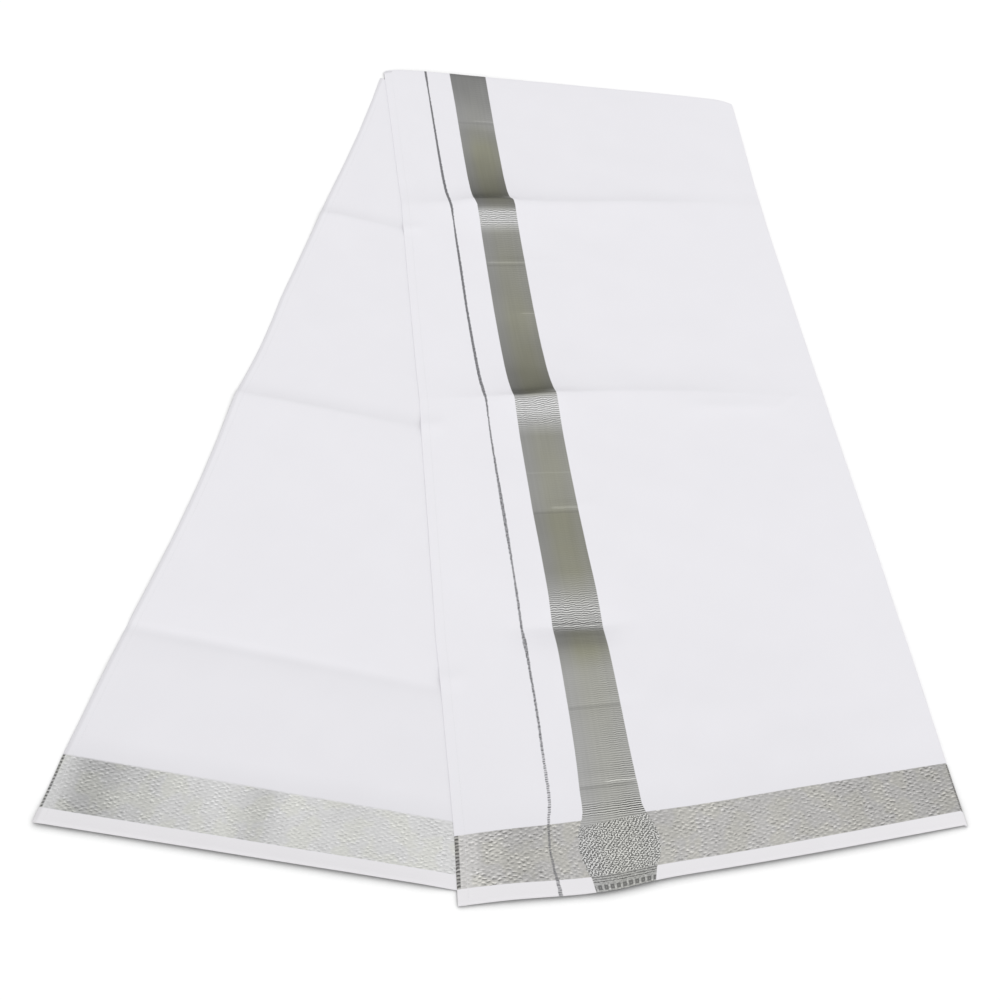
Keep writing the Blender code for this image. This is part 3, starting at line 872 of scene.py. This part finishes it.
print("the band is", (BAND_RIGHT - BAND_LEFT) / BOX, "boxes wide where it crosses the border")

# %% [markdown]
# ## The cotton and all its bands
# One function puts the weaves together, and each leaf and hem is a call of it with its own
# tables. Silver thread is part metal and part cotton core, so it is only partly metallic and
# quite rough. The thin line beside the band is a few grey threads, broken by the white picks.

# %% The thin line, the ribbon's colour and the plain cotton
SHADE_SCALE = 8.0         # a colour ramp holds small shades better when they are scaled up
PICKS = 2.1               # the white picks that make a ladder of the thin line's near end
LADDER_ENDS, LINE_CLEARS = (110, 150), (300, 760)    # and how far up the picks still show
IN_BORDER, PAST_BORDER = 0.30, 0.62      # how white the ladder is


def thin_line(board, u, v, speck):
    """The mask of the thin line: solid at the far end, a ladder of picks at the near one."""
    half = board.by_table(v, LEAF_LENGTH, [(place, width / 4) for place, width in LINE_HALVES]) * 4
    edge = (speck - 0.5) * 1.6
    line = board.step(abs(u + edge - LINE_THREAD) - half, -0.5, 0.5, 1, 0)
    picks = board.step(board.noise(u * 0.4, v, 1.9, detail=1.0), 0.35, 0.62)
    ladder = board.step(board.wave(v, PICKS), -0.4, 0.4) * board.step(v, *LADDER_ENDS, 1, 0)
    line = line * (1 - ladder * board.step(v, 60, 74, IN_BORDER, PAST_BORDER))
    return line * (1 - picks * board.step(v, *LINE_CLEARS, 0.38, 0.12))


def ribbon_colour(board, u, v, drift, tone):
    """The wide band's silver, which is warmer where the press has closed its ribs."""
    warm = press_table(board, v, "warm", 2.0) * board.step(u, BAND_LEFT + 2, BAND_LEFT + 24, 0.2, 1)
    warm = warm * board.step(u, BAND_RIGHT - 18, BAND_RIGHT, 1, 0.55) * (0.75 + drift * 0.5)
    ribbon = board.mix(board.math("MINIMUM", warm, 1.0), SILVER_COOL, SILVER_WARM)
    streak = board.noise(u, v * 0.02, 3.0)
    # tone carries the band's painted reflection and shade
    return board.brighter(ribbon, tone * (0.94 + streak * 0.12))


def plain_cotton(board, u, v, drift, leaf, white):
    """The white ground, with painted shade along the creases and beyond the border."""
    rows = [(leaf.stations[row.section] + row.past, row.dark * SHADE_SCALE) for row in leaf.shades]
    shade = board.by_table(v, LEAF_LENGTH, rows) * board.step(u, 330, 470, 1, 0.45) / SHADE_SCALE
    plain = board.mix(board.step(v, leaf.strip - 3, leaf.strip + 3), STRIP_WHITE, white)
    return board.brighter(plain, 0.99 + drift * 0.02 - shade)


line_widths = [2 * half for _, half in LINE_HALVES]
print("the thin line is", min(line_widths), "to", max(line_widths), "mm wide")

# %% A cloth material
THREAD, THREAD_DEEP = 0.55, 0.006    # one cotton thread, and how deep the weave is
DRIFT, PATCH, SPECK = 55.0, 24.0, 4.0    # sizes of the slow and the quick blotches
COTTON_ROUGH, METAL_SMOOTHER = 0.92, 0.60
SIDE_FOLD_TURNS = (476.8, 478.2)     # where the silver's threads turn on edge at the side fold, darkened with painted dark reflection
SIDE_FOLD_DULLS = (476.5, 479.0)
LeafWeave = namedtuple("LeafWeave", "stations shine shades silvers strip head soft")
TOP_WEAVE = LeafWeave(TOP_AT, TOP_SHINE, TOP_SHADES, TOP_SILVERS, PLAIN_STRIP, BORDER_HEAD, 0.4)
UNDER_WEAVE = LeafWeave(UNDER_AT, UNDER_SHINE, UNDER_SHADES, UNDER_SILVERS, UNDER_PLAIN_STRIP,
                        UNDER_BORDER_HEAD, 1.3)
Beads = namedtuple("Beads", "dark swing length loose")    # threads on edge along a fold, darkened with painted dark reflection
SIDE_FOLD_BEADS = Beads(0.44, 0.44, 2.4, 1.0)
HEM_BEADS = Beads(0.58, 0.27, 3.4, 2.0)


def beaded(board, v, speck, beads):
    """How dark the threads of a fold are, on edge one after the other: a dotted row with painted
    dark reflection.
    """
    return beads.dark + board.wave(v + speck * beads.loose, beads.length) * beads.swing


def cotton_cloth(name, leaf, white=WHITE, has_band=False, hem=None):
    """Cotton with its silver bands, as one material."""
    board = Board(name)
    uv = board.node("ShaderNodeUVMap", {"uv_map": "cloth"})
    split = board.node("ShaderNodeSeparateXYZ", None, {0: Tone(board, uv.outputs[0])})
    u = Tone(board, split.outputs["X"]) / MM
    v = Tone(board, split.outputs["Y"]) / MM
    drift = board.noise(u, v, DRIFT)
    patch = board.noise(u, v, PATCH)
    speck = board.noise(u, v, SPECK, detail=3.0)

    def shine_table(field, low, scale):
        """One column of the shine table, read across the leaf."""
        rows = [(row.across, (getattr(row, field) - low) / scale) for row in leaf.shine]
        return board.by_table(u, LEAF_WIDTH, rows) * scale + low

    drawn = shine_table("drawn", -2.0, 8.0) * board.step(v, -60, 66) * board.step(v, 90, 140, 1, 0)
    v = v + drawn
    border = board.step(v, leaf.strip - 0.4, leaf.strip + 0.4)
    border = border * board.step(v, leaf.head - leaf.soft, leaf.head + leaf.soft, 1, 0)
    look = lattice_weave(board, u, v, shine_table("floats", 0.0, 1.0))
    silver = board.mix(board.step(patch, 0.42, 0.60), *leaf.silvers)
    # the border's painted sheen, read across the leaf
    level = shine_table("light", 0.0, 2.0)
    silver = board.brighter(silver, look.tone * (0.93 + drift * 0.14) * level)
    metal, height, mask = border * look.metal, border * look.height, border
    plain = plain_cotton(board, u, v, drift, leaf, white)

    if has_band:
        band_part, band = band_look(board, u, v, leaf.head)
        silver = board.mix(band, silver, ribbon_colour(board, u, v, drift, band_part.tone))
        metal = metal * (1 - band) + band * band_part.metal
        height = height * (1 - band) + band * band_part.height
        mask = board.math("MAXIMUM", border, band)
        # the side fold's dotted threads on edge, darkened with painted dark reflection
        beads = beaded(board, v, speck, SIDE_FOLD_BEADS)
        silver = board.brighter(silver, 1 - board.step(u, *SIDE_FOLD_TURNS) * beads)
        metal = metal * board.step(u, *SIDE_FOLD_DULLS, 1, 0)
    if hem is not None:
        # the hem's fold line: dotted threads on edge, darkened with painted dark reflection
        beads = beaded(board, v, speck, HEM_BEADS)
        beads = beads * board.step(abs(u + 0.2), hem.bead - 0.6, hem.bead + 0.6, 1, 0)
        silver = board.brighter(silver, 1 - beads)
        metal = metal * (1 - beads)
        # painted shade along the hem's rolled outer edge
        plain = board.brighter(plain, board.step(u, 0.5, 4.0, 1 - hem.dark, 1))

    colour = board.mix(mask, plain, silver)
    if has_band:
        line = thin_line(board, u, v, speck)
        colour = board.mix(line, colour, LINE_GREY)
        metal = metal * (1 - line) + line * LINE_METAL
    weave = board.wave(u, THREAD) * board.wave(v, THREAD)
    relief = height + weave * THREAD_DEEP * (1 - mask)
    bump = board.node("ShaderNodeBump", None, {"Height": relief, "Distance": MM, "Strength": 0.8})
    print(name, len(board.tree.nodes), "nodes")
    return board.finish(base_color=colour, metallic=metal, normal=Tone(board, bump.outputs[0]),
                        roughness=COTTON_ROUGH - metal * METAL_SMOOTHER)


# %% Weave the two leaves and the layers between
top_cloth = cotton_cloth("top_leaf_weave", TOP_WEAVE, has_band=True)
under_cloth = cotton_cloth("under_leaf_weave", UNDER_WEAVE)
inside_cloth = cotton_cloth("inside_weave", TOP_WEAVE, WHITE_IN_SHADE)

# %% [markdown]
# ## The top leaf
# The leaf is open along the near edge and at its cut end on the left. Along the far edge and
# the right side it is folded, so there the sheet curls round and comes back below. The curl is
# a half ellipse, and where both folds meet at the far right corner their drops multiply, which
# rounds the corner by itself.

# %% Make the top leaf
CURL_ANGLES = range(20, 181, 20)    # degrees round the curl
BACK_BELOW = (5.0, 11.0)            # the strip that comes back below the fold
THREADS_A_STEP = 2.0                # how much cloth each row of the fold takes

top_rows = spaced(
    (0, 20, 2.5), (20, 75, 4.5), (75, 240, 5.0), (240, 292, 2.4), (292, 525, 5.2), (525, 547, 2.4),
    (547, 575, 1.4), (575, 850, 5.6), (850, 870, 2.4), (870, 898, 1.4),
    (898, TOP_AT["far_fold"] - FOLD_REACH, 5.6),
)
top_threads = spaced(
    (0, 12, 2.0), (12, 88, 4.5), (88, 92, 2.0), (92, BAND_LEFT, 3.1), (BAND_LEFT, BAND_RIGHT, 3.25),
    (BAND_RIGHT, 200, 3.1), (200, LEAF_WIDTH - FOLD_REACH, 5.4),
)


def level_way(start, finish):
    """The level direction from one point to another, as a vector of length 1."""
    way = finish - start
    return np.array([way[0], way[1], 0.0]) / math.hypot(way[0], way[1])


def fold_round(points, numbers, outward, axis):
    """Curls the last row (axis 0) or column (axis 1) round and brings it back below."""
    curl = [(math.sin(math.radians(angle)) * FOLD_REACH, (1 + math.cos(math.radians(angle))) / 2)
            for angle in CURL_ANGLES]
    edge, edge_number = points.take([-1], axis), numbers.take([-1], axis)
    thread_step = THREADS_A_STEP * np.eye(2)[1 - axis]
    strips, strip_numbers = [points], [numbers]
    for step, (out, high) in enumerate(curl + [(-back, 0.0) for back in BACK_BELOW], start=1):
        strip = edge + outward * out
        strip[..., 2] = ON_TABLE + (edge[..., 2] - ON_TABLE) * high
        strips.append(strip)
        strip_numbers.append(edge_number + thread_step * step)
    return np.concatenate(strips, axis), np.concatenate(strip_numbers, axis)


def top_leaf_grid():
    """Points and thread numbers of the top leaf, its two folds included."""
    along = top_rows[:, None]
    points = np.stack(top_surface(along, thread_place(top_threads[None, :], along)), axis=2)
    numbers = np.stack(np.broadcast_arrays(top_threads[None, :], along), axis=2)
    right = level_way(points[-1, -2], points[-1, -1])
    away = level_way(points[-2, -1], points[-1, -1])
    points, numbers = fold_round(points, numbers, right, axis=1)
    return fold_round(points, numbers, away, axis=0)


top_leaf = sheet_mesh("top_leaf_cloth", *top_leaf_grid(), top_cloth)
dress(top_leaf, "white_cotton", "top_leaf")

# %% [markdown]
# ## The under leaf
# The under leaf is the other end quarter, turned out to the left. Its columns start at the cut
# end and stop a hand's breadth below the top leaf. Its creases are the same three, pressed
# flatter, and they run downhill to the right because the leaf is turned.

# %% Make the under leaf
under_rows = spaced(
    (0, 20, 2.5), (20, 190, 5.0), (190, 222, 2.4), (222, 520, 5.6), (520, 548, 2.2),
    (548, 838, 5.8), (838, 868, 2.2), (868, UNDER_AT["far_fold"], 5.8),
)
under_ways = spaced((0, 0.04, 0.01), (0.04, 1.0, 0.016))
TUCK_PARTS = (0.15, 0.4, 0.7, 1.0)
TUCK_WAY = 0.3            # the whole tuck, in the same measure as the way across
UNDER_CALM = 8.0          # its small creases die away over the last eighth before the top leaf
UNDER_UNEVEN = 0.5        # its slow waves are half as high as the top leaf's
Sag = namedtuple("Sag", "start finish depth")    # along the cut end, where it sags in
UNDER_SAGS = table(Sag, (216, 534, 5.6), (534, 690, 3.0), (880, 1130, 3.0))


def slack(along):
    """How far the cut end sags in between two creases."""
    total = np.zeros_like(along)
    for sag in UNDER_SAGS:
        part = (along - sag.start) / (sag.finish - sag.start)
        total += sag.depth * np.sin(math.pi * np.clip(part, 0, 1))
    return total


def under_surface(along, way, tuck=0.0):
    """The outer face of the under leaf, in millimetres, and each point's thread number."""
    x, y = on_line(UNDER_SECTIONS, along, way)
    left_x, left_y = on_line(UNDER_SECTIONS, along, 0.0)
    thread = np.hypot(x - left_x, y - left_y) + tuck
    x = x + slack(along) * np.clip(1 - way, 0, 1) ** 2
    at = way + tuck / TUCK * TUCK_WAY
    share, near = read(UNDER_COLUMNS, at, "way", "share", "near")
    share = near + (share - near) * np.interp(along, NEAR_EDGE, (0.0, 1.0))
    z = UNDER_FACE + profile(UNDER_HEIGHTS, UNDER_AT, along) * share
    calm = np.clip((1 - way) * UNDER_CALM, 0, 1)
    z = z + (creased(UNDER_CREASES, along, thread) + uneven(along, thread) * UNDER_UNEVEN) * calm
    return np.stack([x + tuck, y, np.maximum(z, CLOTH + ON_TABLE)], axis=2), thread


def under_leaf_grid():
    """Points and thread numbers of the under leaf, its hidden strip included."""
    along = under_rows[:, None]
    parts = [under_surface(along, under_ways[None, :] + 0 * along)]
    for part in TUCK_PARTS:
        parts.append(under_surface(along, np.ones_like(along), tuck=TUCK * part))
    points, thread = (np.concatenate(strips, axis=1) for strips in zip(*parts))
    return points, np.stack([thread, along + 0 * thread], axis=2)


under_leaf = sheet_mesh("under_leaf_cloth", *under_leaf_grid(), under_cloth)
dress(under_leaf, "white_cotton", "under_leaf")

# %% [markdown]
# ## The layers between
# The doubled middle of the cloth lies hidden between the leaves. Only its edges can be seen, as
# thin lines below the near edge of the top leaf, so it is one closed body: its upper face
# follows the top leaf from below, its lower face is flat, and its rim is shaped into layers.

# %% Make the hidden layers
LAYER_GAP = 0.15          # air between the top leaf and the layers below it
INSIDE_FROM = 52.0        # the hidden layers start this far in from the cut end
INSIDE_TO = 462.0
ON_UNDER_LEAF = 1.35      # their lower face, where they lie on the under leaf
STEP_DOWN_AT = 84.0       # past here they lie on the table
INSET, INSET_FADES = 6.0, 40.0    # how far they lie in from the near edge
INSET_WAVES = ((1.1, 37.0, 0.0), (0.6, 13.0, 1.0))    # height, length, phase
Lip = namedtuple("Lip", "down out")
LAYERED_RIM = table(
    Lip, (0.05, 0.5), (0.34, 0.6), (0.42, -0.9), (0.50, -0.9), (0.56, 0.2), (0.92, 0.3))


def rim_of(grid):
    """The points round the edge of a grid, anticlockwise from above."""
    return np.concatenate([grid[0], grid[1:, -1], grid[-1, -2::-1], grid[-2:0:-1, 0]])


def layered_body(name, upper, lower, lips, material):
    """A closed body between two grids, with a shaped rim."""
    rows, columns, _ = upper.shape
    number = np.arange(rows * columns).reshape(rows, columns)
    skin = grid_faces(number)
    high, low, edge = rim_of(upper), rim_of(lower), rim_of(number)
    ahead = np.roll(high, -1, axis=0) - np.roll(high, 1, axis=0)
    out = np.stack([ahead[:, 1], -ahead[:, 0], 0 * ahead[:, 0]], axis=1)
    out /= np.linalg.norm(out, axis=1, keepdims=True)
    rings = [high + (low - high) * lip.down + out * lip.out for lip in lips]
    points = np.concatenate([upper.reshape(-1, 3), lower.reshape(-1, 3), *rings])
    size, count = rows * columns, len(edge)
    loops = [edge, *(2 * size + step * count + np.arange(count) for step in range(len(lips))),
             edge + size]
    walls = [np.stack([above, below, np.roll(below, -1), np.roll(above, -1)], axis=1)
             for above, below in zip(loops, loops[1:])]
    faces = np.concatenate([skin, skin[:, ::-1] + size, *walls]).tolist()
    print(name, len(faces), "faces")
    return new_piece(name, points, faces, material, points[:, :2])


def hidden_layers():
    """The upper and lower face of the doubled middle."""
    across = spaced((INSIDE_FROM, STEP_DOWN_AT, 8), (STEP_DOWN_AT, INSIDE_TO, 9))[None, :]
    along = top_rows[:-1][:, None]
    inset = INSET + sum(height * np.sin(across / length + phase)
                        for height, length, phase in INSET_WAVES)
    along = along + inset * np.clip(1 - along / INSET_FADES, 0, 1)
    x, y, z = top_surface(along, across)
    upper = np.stack([x, y, z - CLOTH - LAYER_GAP], axis=2)
    lower = upper.copy()
    lower[..., 2] = np.where(across < STEP_DOWN_AT, ON_UNDER_LEAF, ON_TABLE) + 0 * z
    return upper, lower


middle_layers = layered_body("middle_layers_cloth", *hidden_layers(), LAYERED_RIM, inside_cloth)
dress(middle_layers, "white_cotton_inside", "folded_layers")

# %% [markdown]
# ## The hemmed ends
# A cut end frays, so it is turned over on itself and stitched. The turning is a strip of the
# same cloth that wraps the leaf's edge, a little proud of it. Its section is a short list of
# places round the edge, and it is swept along the leaf. Folded so tightly, the silver of the
# border turns its threads on edge there, and the fold line shows dark: a dotted row whose
# darkness is painted dark reflection. The under leaf's hem has painted shade along its rolled edge.

# %% Make the two hems
Wrap = namedtuple("Wrap", "across lift")
HEM_SECTION = table(
    Wrap,
    (7.0, -0.90), (3.0, -0.98), (0.0, -0.98), (-1.1, -0.93), (-1.7, -0.84), (-1.7, -0.66),
    (-1.1, -0.32), (-0.3, 0.02), (1.2, 0.11), (3.2, 0.19), (5.6, 0.18), (7.6, 0.12), (9.2, 0.03),
    (10.0, -0.12),
)
WRAPPED_BELOW = -0.7      # what has less lift than this lies below the leaf
HEM_CLOTH = 0.22
Hem = namedtuple("Hem", "dark bead")    # how dark the painted shade on the cotton's rolled fold is, how wide the beads are
TOP_HEM, UNDER_HEM = Hem(0.0, 2.2), Hem(0.10, 1.4)
HEM_CLEAR = 0.5           # the hem stops this far short of the far fold's curl


def under_by_millimetre(along, across):
    """The under leaf's outer face, at a distance in millimetres from its cut end."""
    left_x, left_y = on_line(UNDER_SECTIONS, along, 0.0)
    right_x, right_y = on_line(UNDER_SECTIONS, along, 1.0)
    points, _ = under_surface(along, across / np.hypot(right_x - left_x, right_y - left_y))
    return points[..., 0], points[..., 1], points[..., 2]


def hem_grid(surface, rows):
    """The strip that wraps a cut end: its points and thread numbers."""
    along = rows[:, None]
    across = np.array([wrap.across for wrap in HEM_SECTION])[None, :]
    lift = np.array([wrap.lift for wrap in HEM_SECTION])[None, :]
    x, y, z = surface(along + 0 * across, across + 0 * along)
    points = np.stack([x, y, np.maximum(z + lift, ON_TABLE + HEM_CLOTH)], axis=2)
    turned = np.where(lift < WRAPPED_BELOW, -across, across)
    numbers = np.stack([turned + 0 * along, along + 0 * across], axis=2)
    return points, numbers


top_hem_weave = cotton_cloth("top_hem_weave", TOP_WEAVE, hem=TOP_HEM)
under_hem_weave = cotton_cloth("under_hem_weave", UNDER_WEAVE, hem=UNDER_HEM)
top_hem_rows = np.append(top_rows[:-1], top_rows[-1] - HEM_CLEAR)
top_hem = sheet_mesh("top_end_hem_cloth", *hem_grid(top_surface, top_hem_rows), top_hem_weave,
                     HEM_CLOTH)
dress(top_hem, "hemmed_end", "top_end_hem")
under_hem = sheet_mesh("under_end_hem_cloth", *hem_grid(under_by_millimetre, under_rows),
                       under_hem_weave, HEM_CLOTH)
dress(under_hem, "hemmed_end", "under_end_hem")

# %% [markdown]
# ## The stitches
# One stitch is modelled, from a small sphere drawn out to a grain of rice, and then set down
# along both hems, a stitch every three millimetres. All of them are one mesh.

# %% Sew the hems
STITCH_LONG, STITCH_WIDE, STITCH_HIGH = 2.1, 0.42, 0.30
STITCH_EVERY = 3.0
SEAM_AT = 8.3             # from the cut end
SEAM_START = 4.0          # from the selvedge, as the two ends are
TOP_SEAM_END, UNDER_SEAM_END = 1105.0, 1080.0
STITCH_PROUD = 0.05
SEWING_WHITE = (0.70, 0.70, 0.72, 1.0)

bpy.ops.mesh.primitive_uv_sphere_add(segments=6, ring_count=5, radius=0.5)
stitch = bpy.context.active_object
bpy.ops.object.mode_set(mode="EDIT")
bpy.ops.mesh.select_all(action="SELECT")
bpy.ops.transform.resize(value=(STITCH_WIDE, STITCH_HIGH, STITCH_LONG))
bpy.ops.object.mode_set(mode="OBJECT")
stitch_points = np.array([vertex.co[:] for vertex in stitch.data.vertices])
stitch_faces = [list(face.vertices) for face in stitch.data.polygons]
bpy.data.objects.remove(stitch)


def seam(surface, last):
    """The points of every stitch along one hem."""
    places = np.arange(SEAM_START, last, STITCH_EVERY)
    middle = np.stack(surface(places[:, None], np.full((1, 1), SEAM_AT)), axis=2)[:, 0]
    ahead = np.stack(surface(places[:, None] + 1.0, np.full((1, 1), SEAM_AT)), axis=2)[:, 0]
    forward = (ahead - middle) / np.linalg.norm(ahead - middle, axis=1, keepdims=True)
    side = np.stack([forward[:, 1], -forward[:, 0], 0 * places], axis=1)
    side /= np.linalg.norm(side, axis=1, keepdims=True)
    rise = np.cross(side, forward)
    frames = np.stack([side, rise, forward], axis=1)
    middle = middle + [0.0, 0.0, STITCH_PROUD]
    return np.einsum("pk,skc->spc", stitch_points, frames) + middle[:, None, :]


stitches = np.concatenate([seam(top_surface, TOP_SEAM_END),
                           seam(under_by_millimetre, UNDER_SEAM_END)])
all_faces = [[corner + number * len(stitch_points) for corner in face]
             for number in range(len(stitches)) for face in stitch_faces]
sewing_thread = Board("sewing_thread").finish(base_color=SEWING_WHITE, roughness=0.7)
hem_stitches = new_piece("hem_stitches", stitches.reshape(-1, 3), all_faces, sewing_thread)
dress(hem_stitches, "hemmed_end")
print(len(stitches), "stitches")

# %% [markdown]
# ## The table
# The cloth lies on a white table far wider than the view. Cloth this thin throws no shadow to
# speak of under a light tent: only a narrow dark seam of shade where its edge comes down. An
# ambient occlusion node paints that seam into the table's colour, as painted shadow. The painted
# shadow is strong along the near edge, which stands a little clear of the table and faces away
# from the light, and it fades round the far sides: the place on the table sets how deep it is.

# %% Lay the table
TABLE_SIDE = 14.0
SHADOW_REACH = 0.0135
SHADOW_DEPTH, SHADOW_FLOOR = 1.9, 0.27     # how steeply the painted shadow falls off, and its darkest tone
NEAR_EDGE_Y = (-0.595, -0.545)
LEAN = 0.17                             # the near edges run back by this much to both sides
RIGHT_WEAKER = 0.87                     # the painted shadow is weaker on the right, which faces the light
BLACK, PAPER_WHITE = (0.0, 0.0, 0.0, 1.0), (1.0, 1.0, 1.0, 1.0)

bpy.ops.mesh.primitive_plane_add(size=TABLE_SIDE, location=(0.0, 0.0, 0.0))
tabletop = bpy.context.active_object
tabletop.name = "table"
table_board = Board("table_top")
nook = table_board.node("ShaderNodeAmbientOcclusion", {"samples": 8}, {"Distance": SHADOW_REACH})
spot = table_board.node("ShaderNodeTexCoord")
spot = table_board.node("ShaderNodeSeparateXYZ", None,
                        {0: Tone(table_board, spot.outputs["Object"])})
spot_x, spot_y = (Tone(table_board, spot.outputs[axis]) for axis in "XY")
lit_side = table_board.step(spot_y - abs(spot_x) * LEAN, *NEAR_EDGE_Y)
right_side = table_board.step(spot_x, -0.1, 0.1)
deep = SHADOW_DEPTH - lit_side * (SHADOW_DEPTH - 1.0 + right_side * RIGHT_WEAKER)
painted_shadow_tone = table_board.math("POWER", Tone(table_board, nook.outputs["AO"]), deep)
floor_tone = SHADOW_FLOOR * (1 - lit_side)
table_tone = table_board.mix(floor_tone + painted_shadow_tone * (1 - floor_tone), BLACK, PAPER_WHITE)
table_board.feed(table_board.shader.inputs["Specular IOR Level"], 0.0)
tabletop.data.materials.append(table_board.finish(base_color=table_tone, roughness=1.0))
print("the table is", TABLE_SIDE, "m wide")

# %% [markdown]
# ## What each sheet is when it is unfolded
# The top leaf is one quarter of the cloth and the strip of the next that comes round the far fold
# and the side fold. The under leaf is a fan: it shows less than half of its own rectangle, since it
# narrows to nothing at the far fold. The two hems are narrow strips of the same cloth.

print("five cloth sheets")

# %% [markdown]
# ## The light tent
# White cloth on a white table wants soft light from all round, so the world itself is the
# lamp. It is even overhead and on the near side, and it darkens low down on the far side. That
# dark part is what gives the flat silver band its depth: a metal shows what it faces.

# %% Light the table
# How light the tent is, from the near side (-1) to straight behind the cloth (1).
TENT = (
    (-1.0, 1.12), (0.0, 1.16), (0.4, 1.02), (0.64, 0.88), (0.79, 0.76), (0.90, 0.34),
    (0.95, 0.2), (1.0, 0.15),
)
tent = Board("light_tent", "worlds", "Background")
bpy.context.scene.world = tent.owner
direction = tent.node("ShaderNodeTexCoord")
direction = tent.node("ShaderNodeSeparateXYZ", None,
                      {0: Tone(tent, direction.outputs["Generated"])})
away = Tone(tent, direction.outputs["Y"])
tent.finish(color=tent.by_table(away + 1, 2.0, [(place + 1, level) for place, level in TENT]))
bpy.context.scene.view_settings.view_transform = "Standard"
print("the tent has", len(TENT), "steps of light")
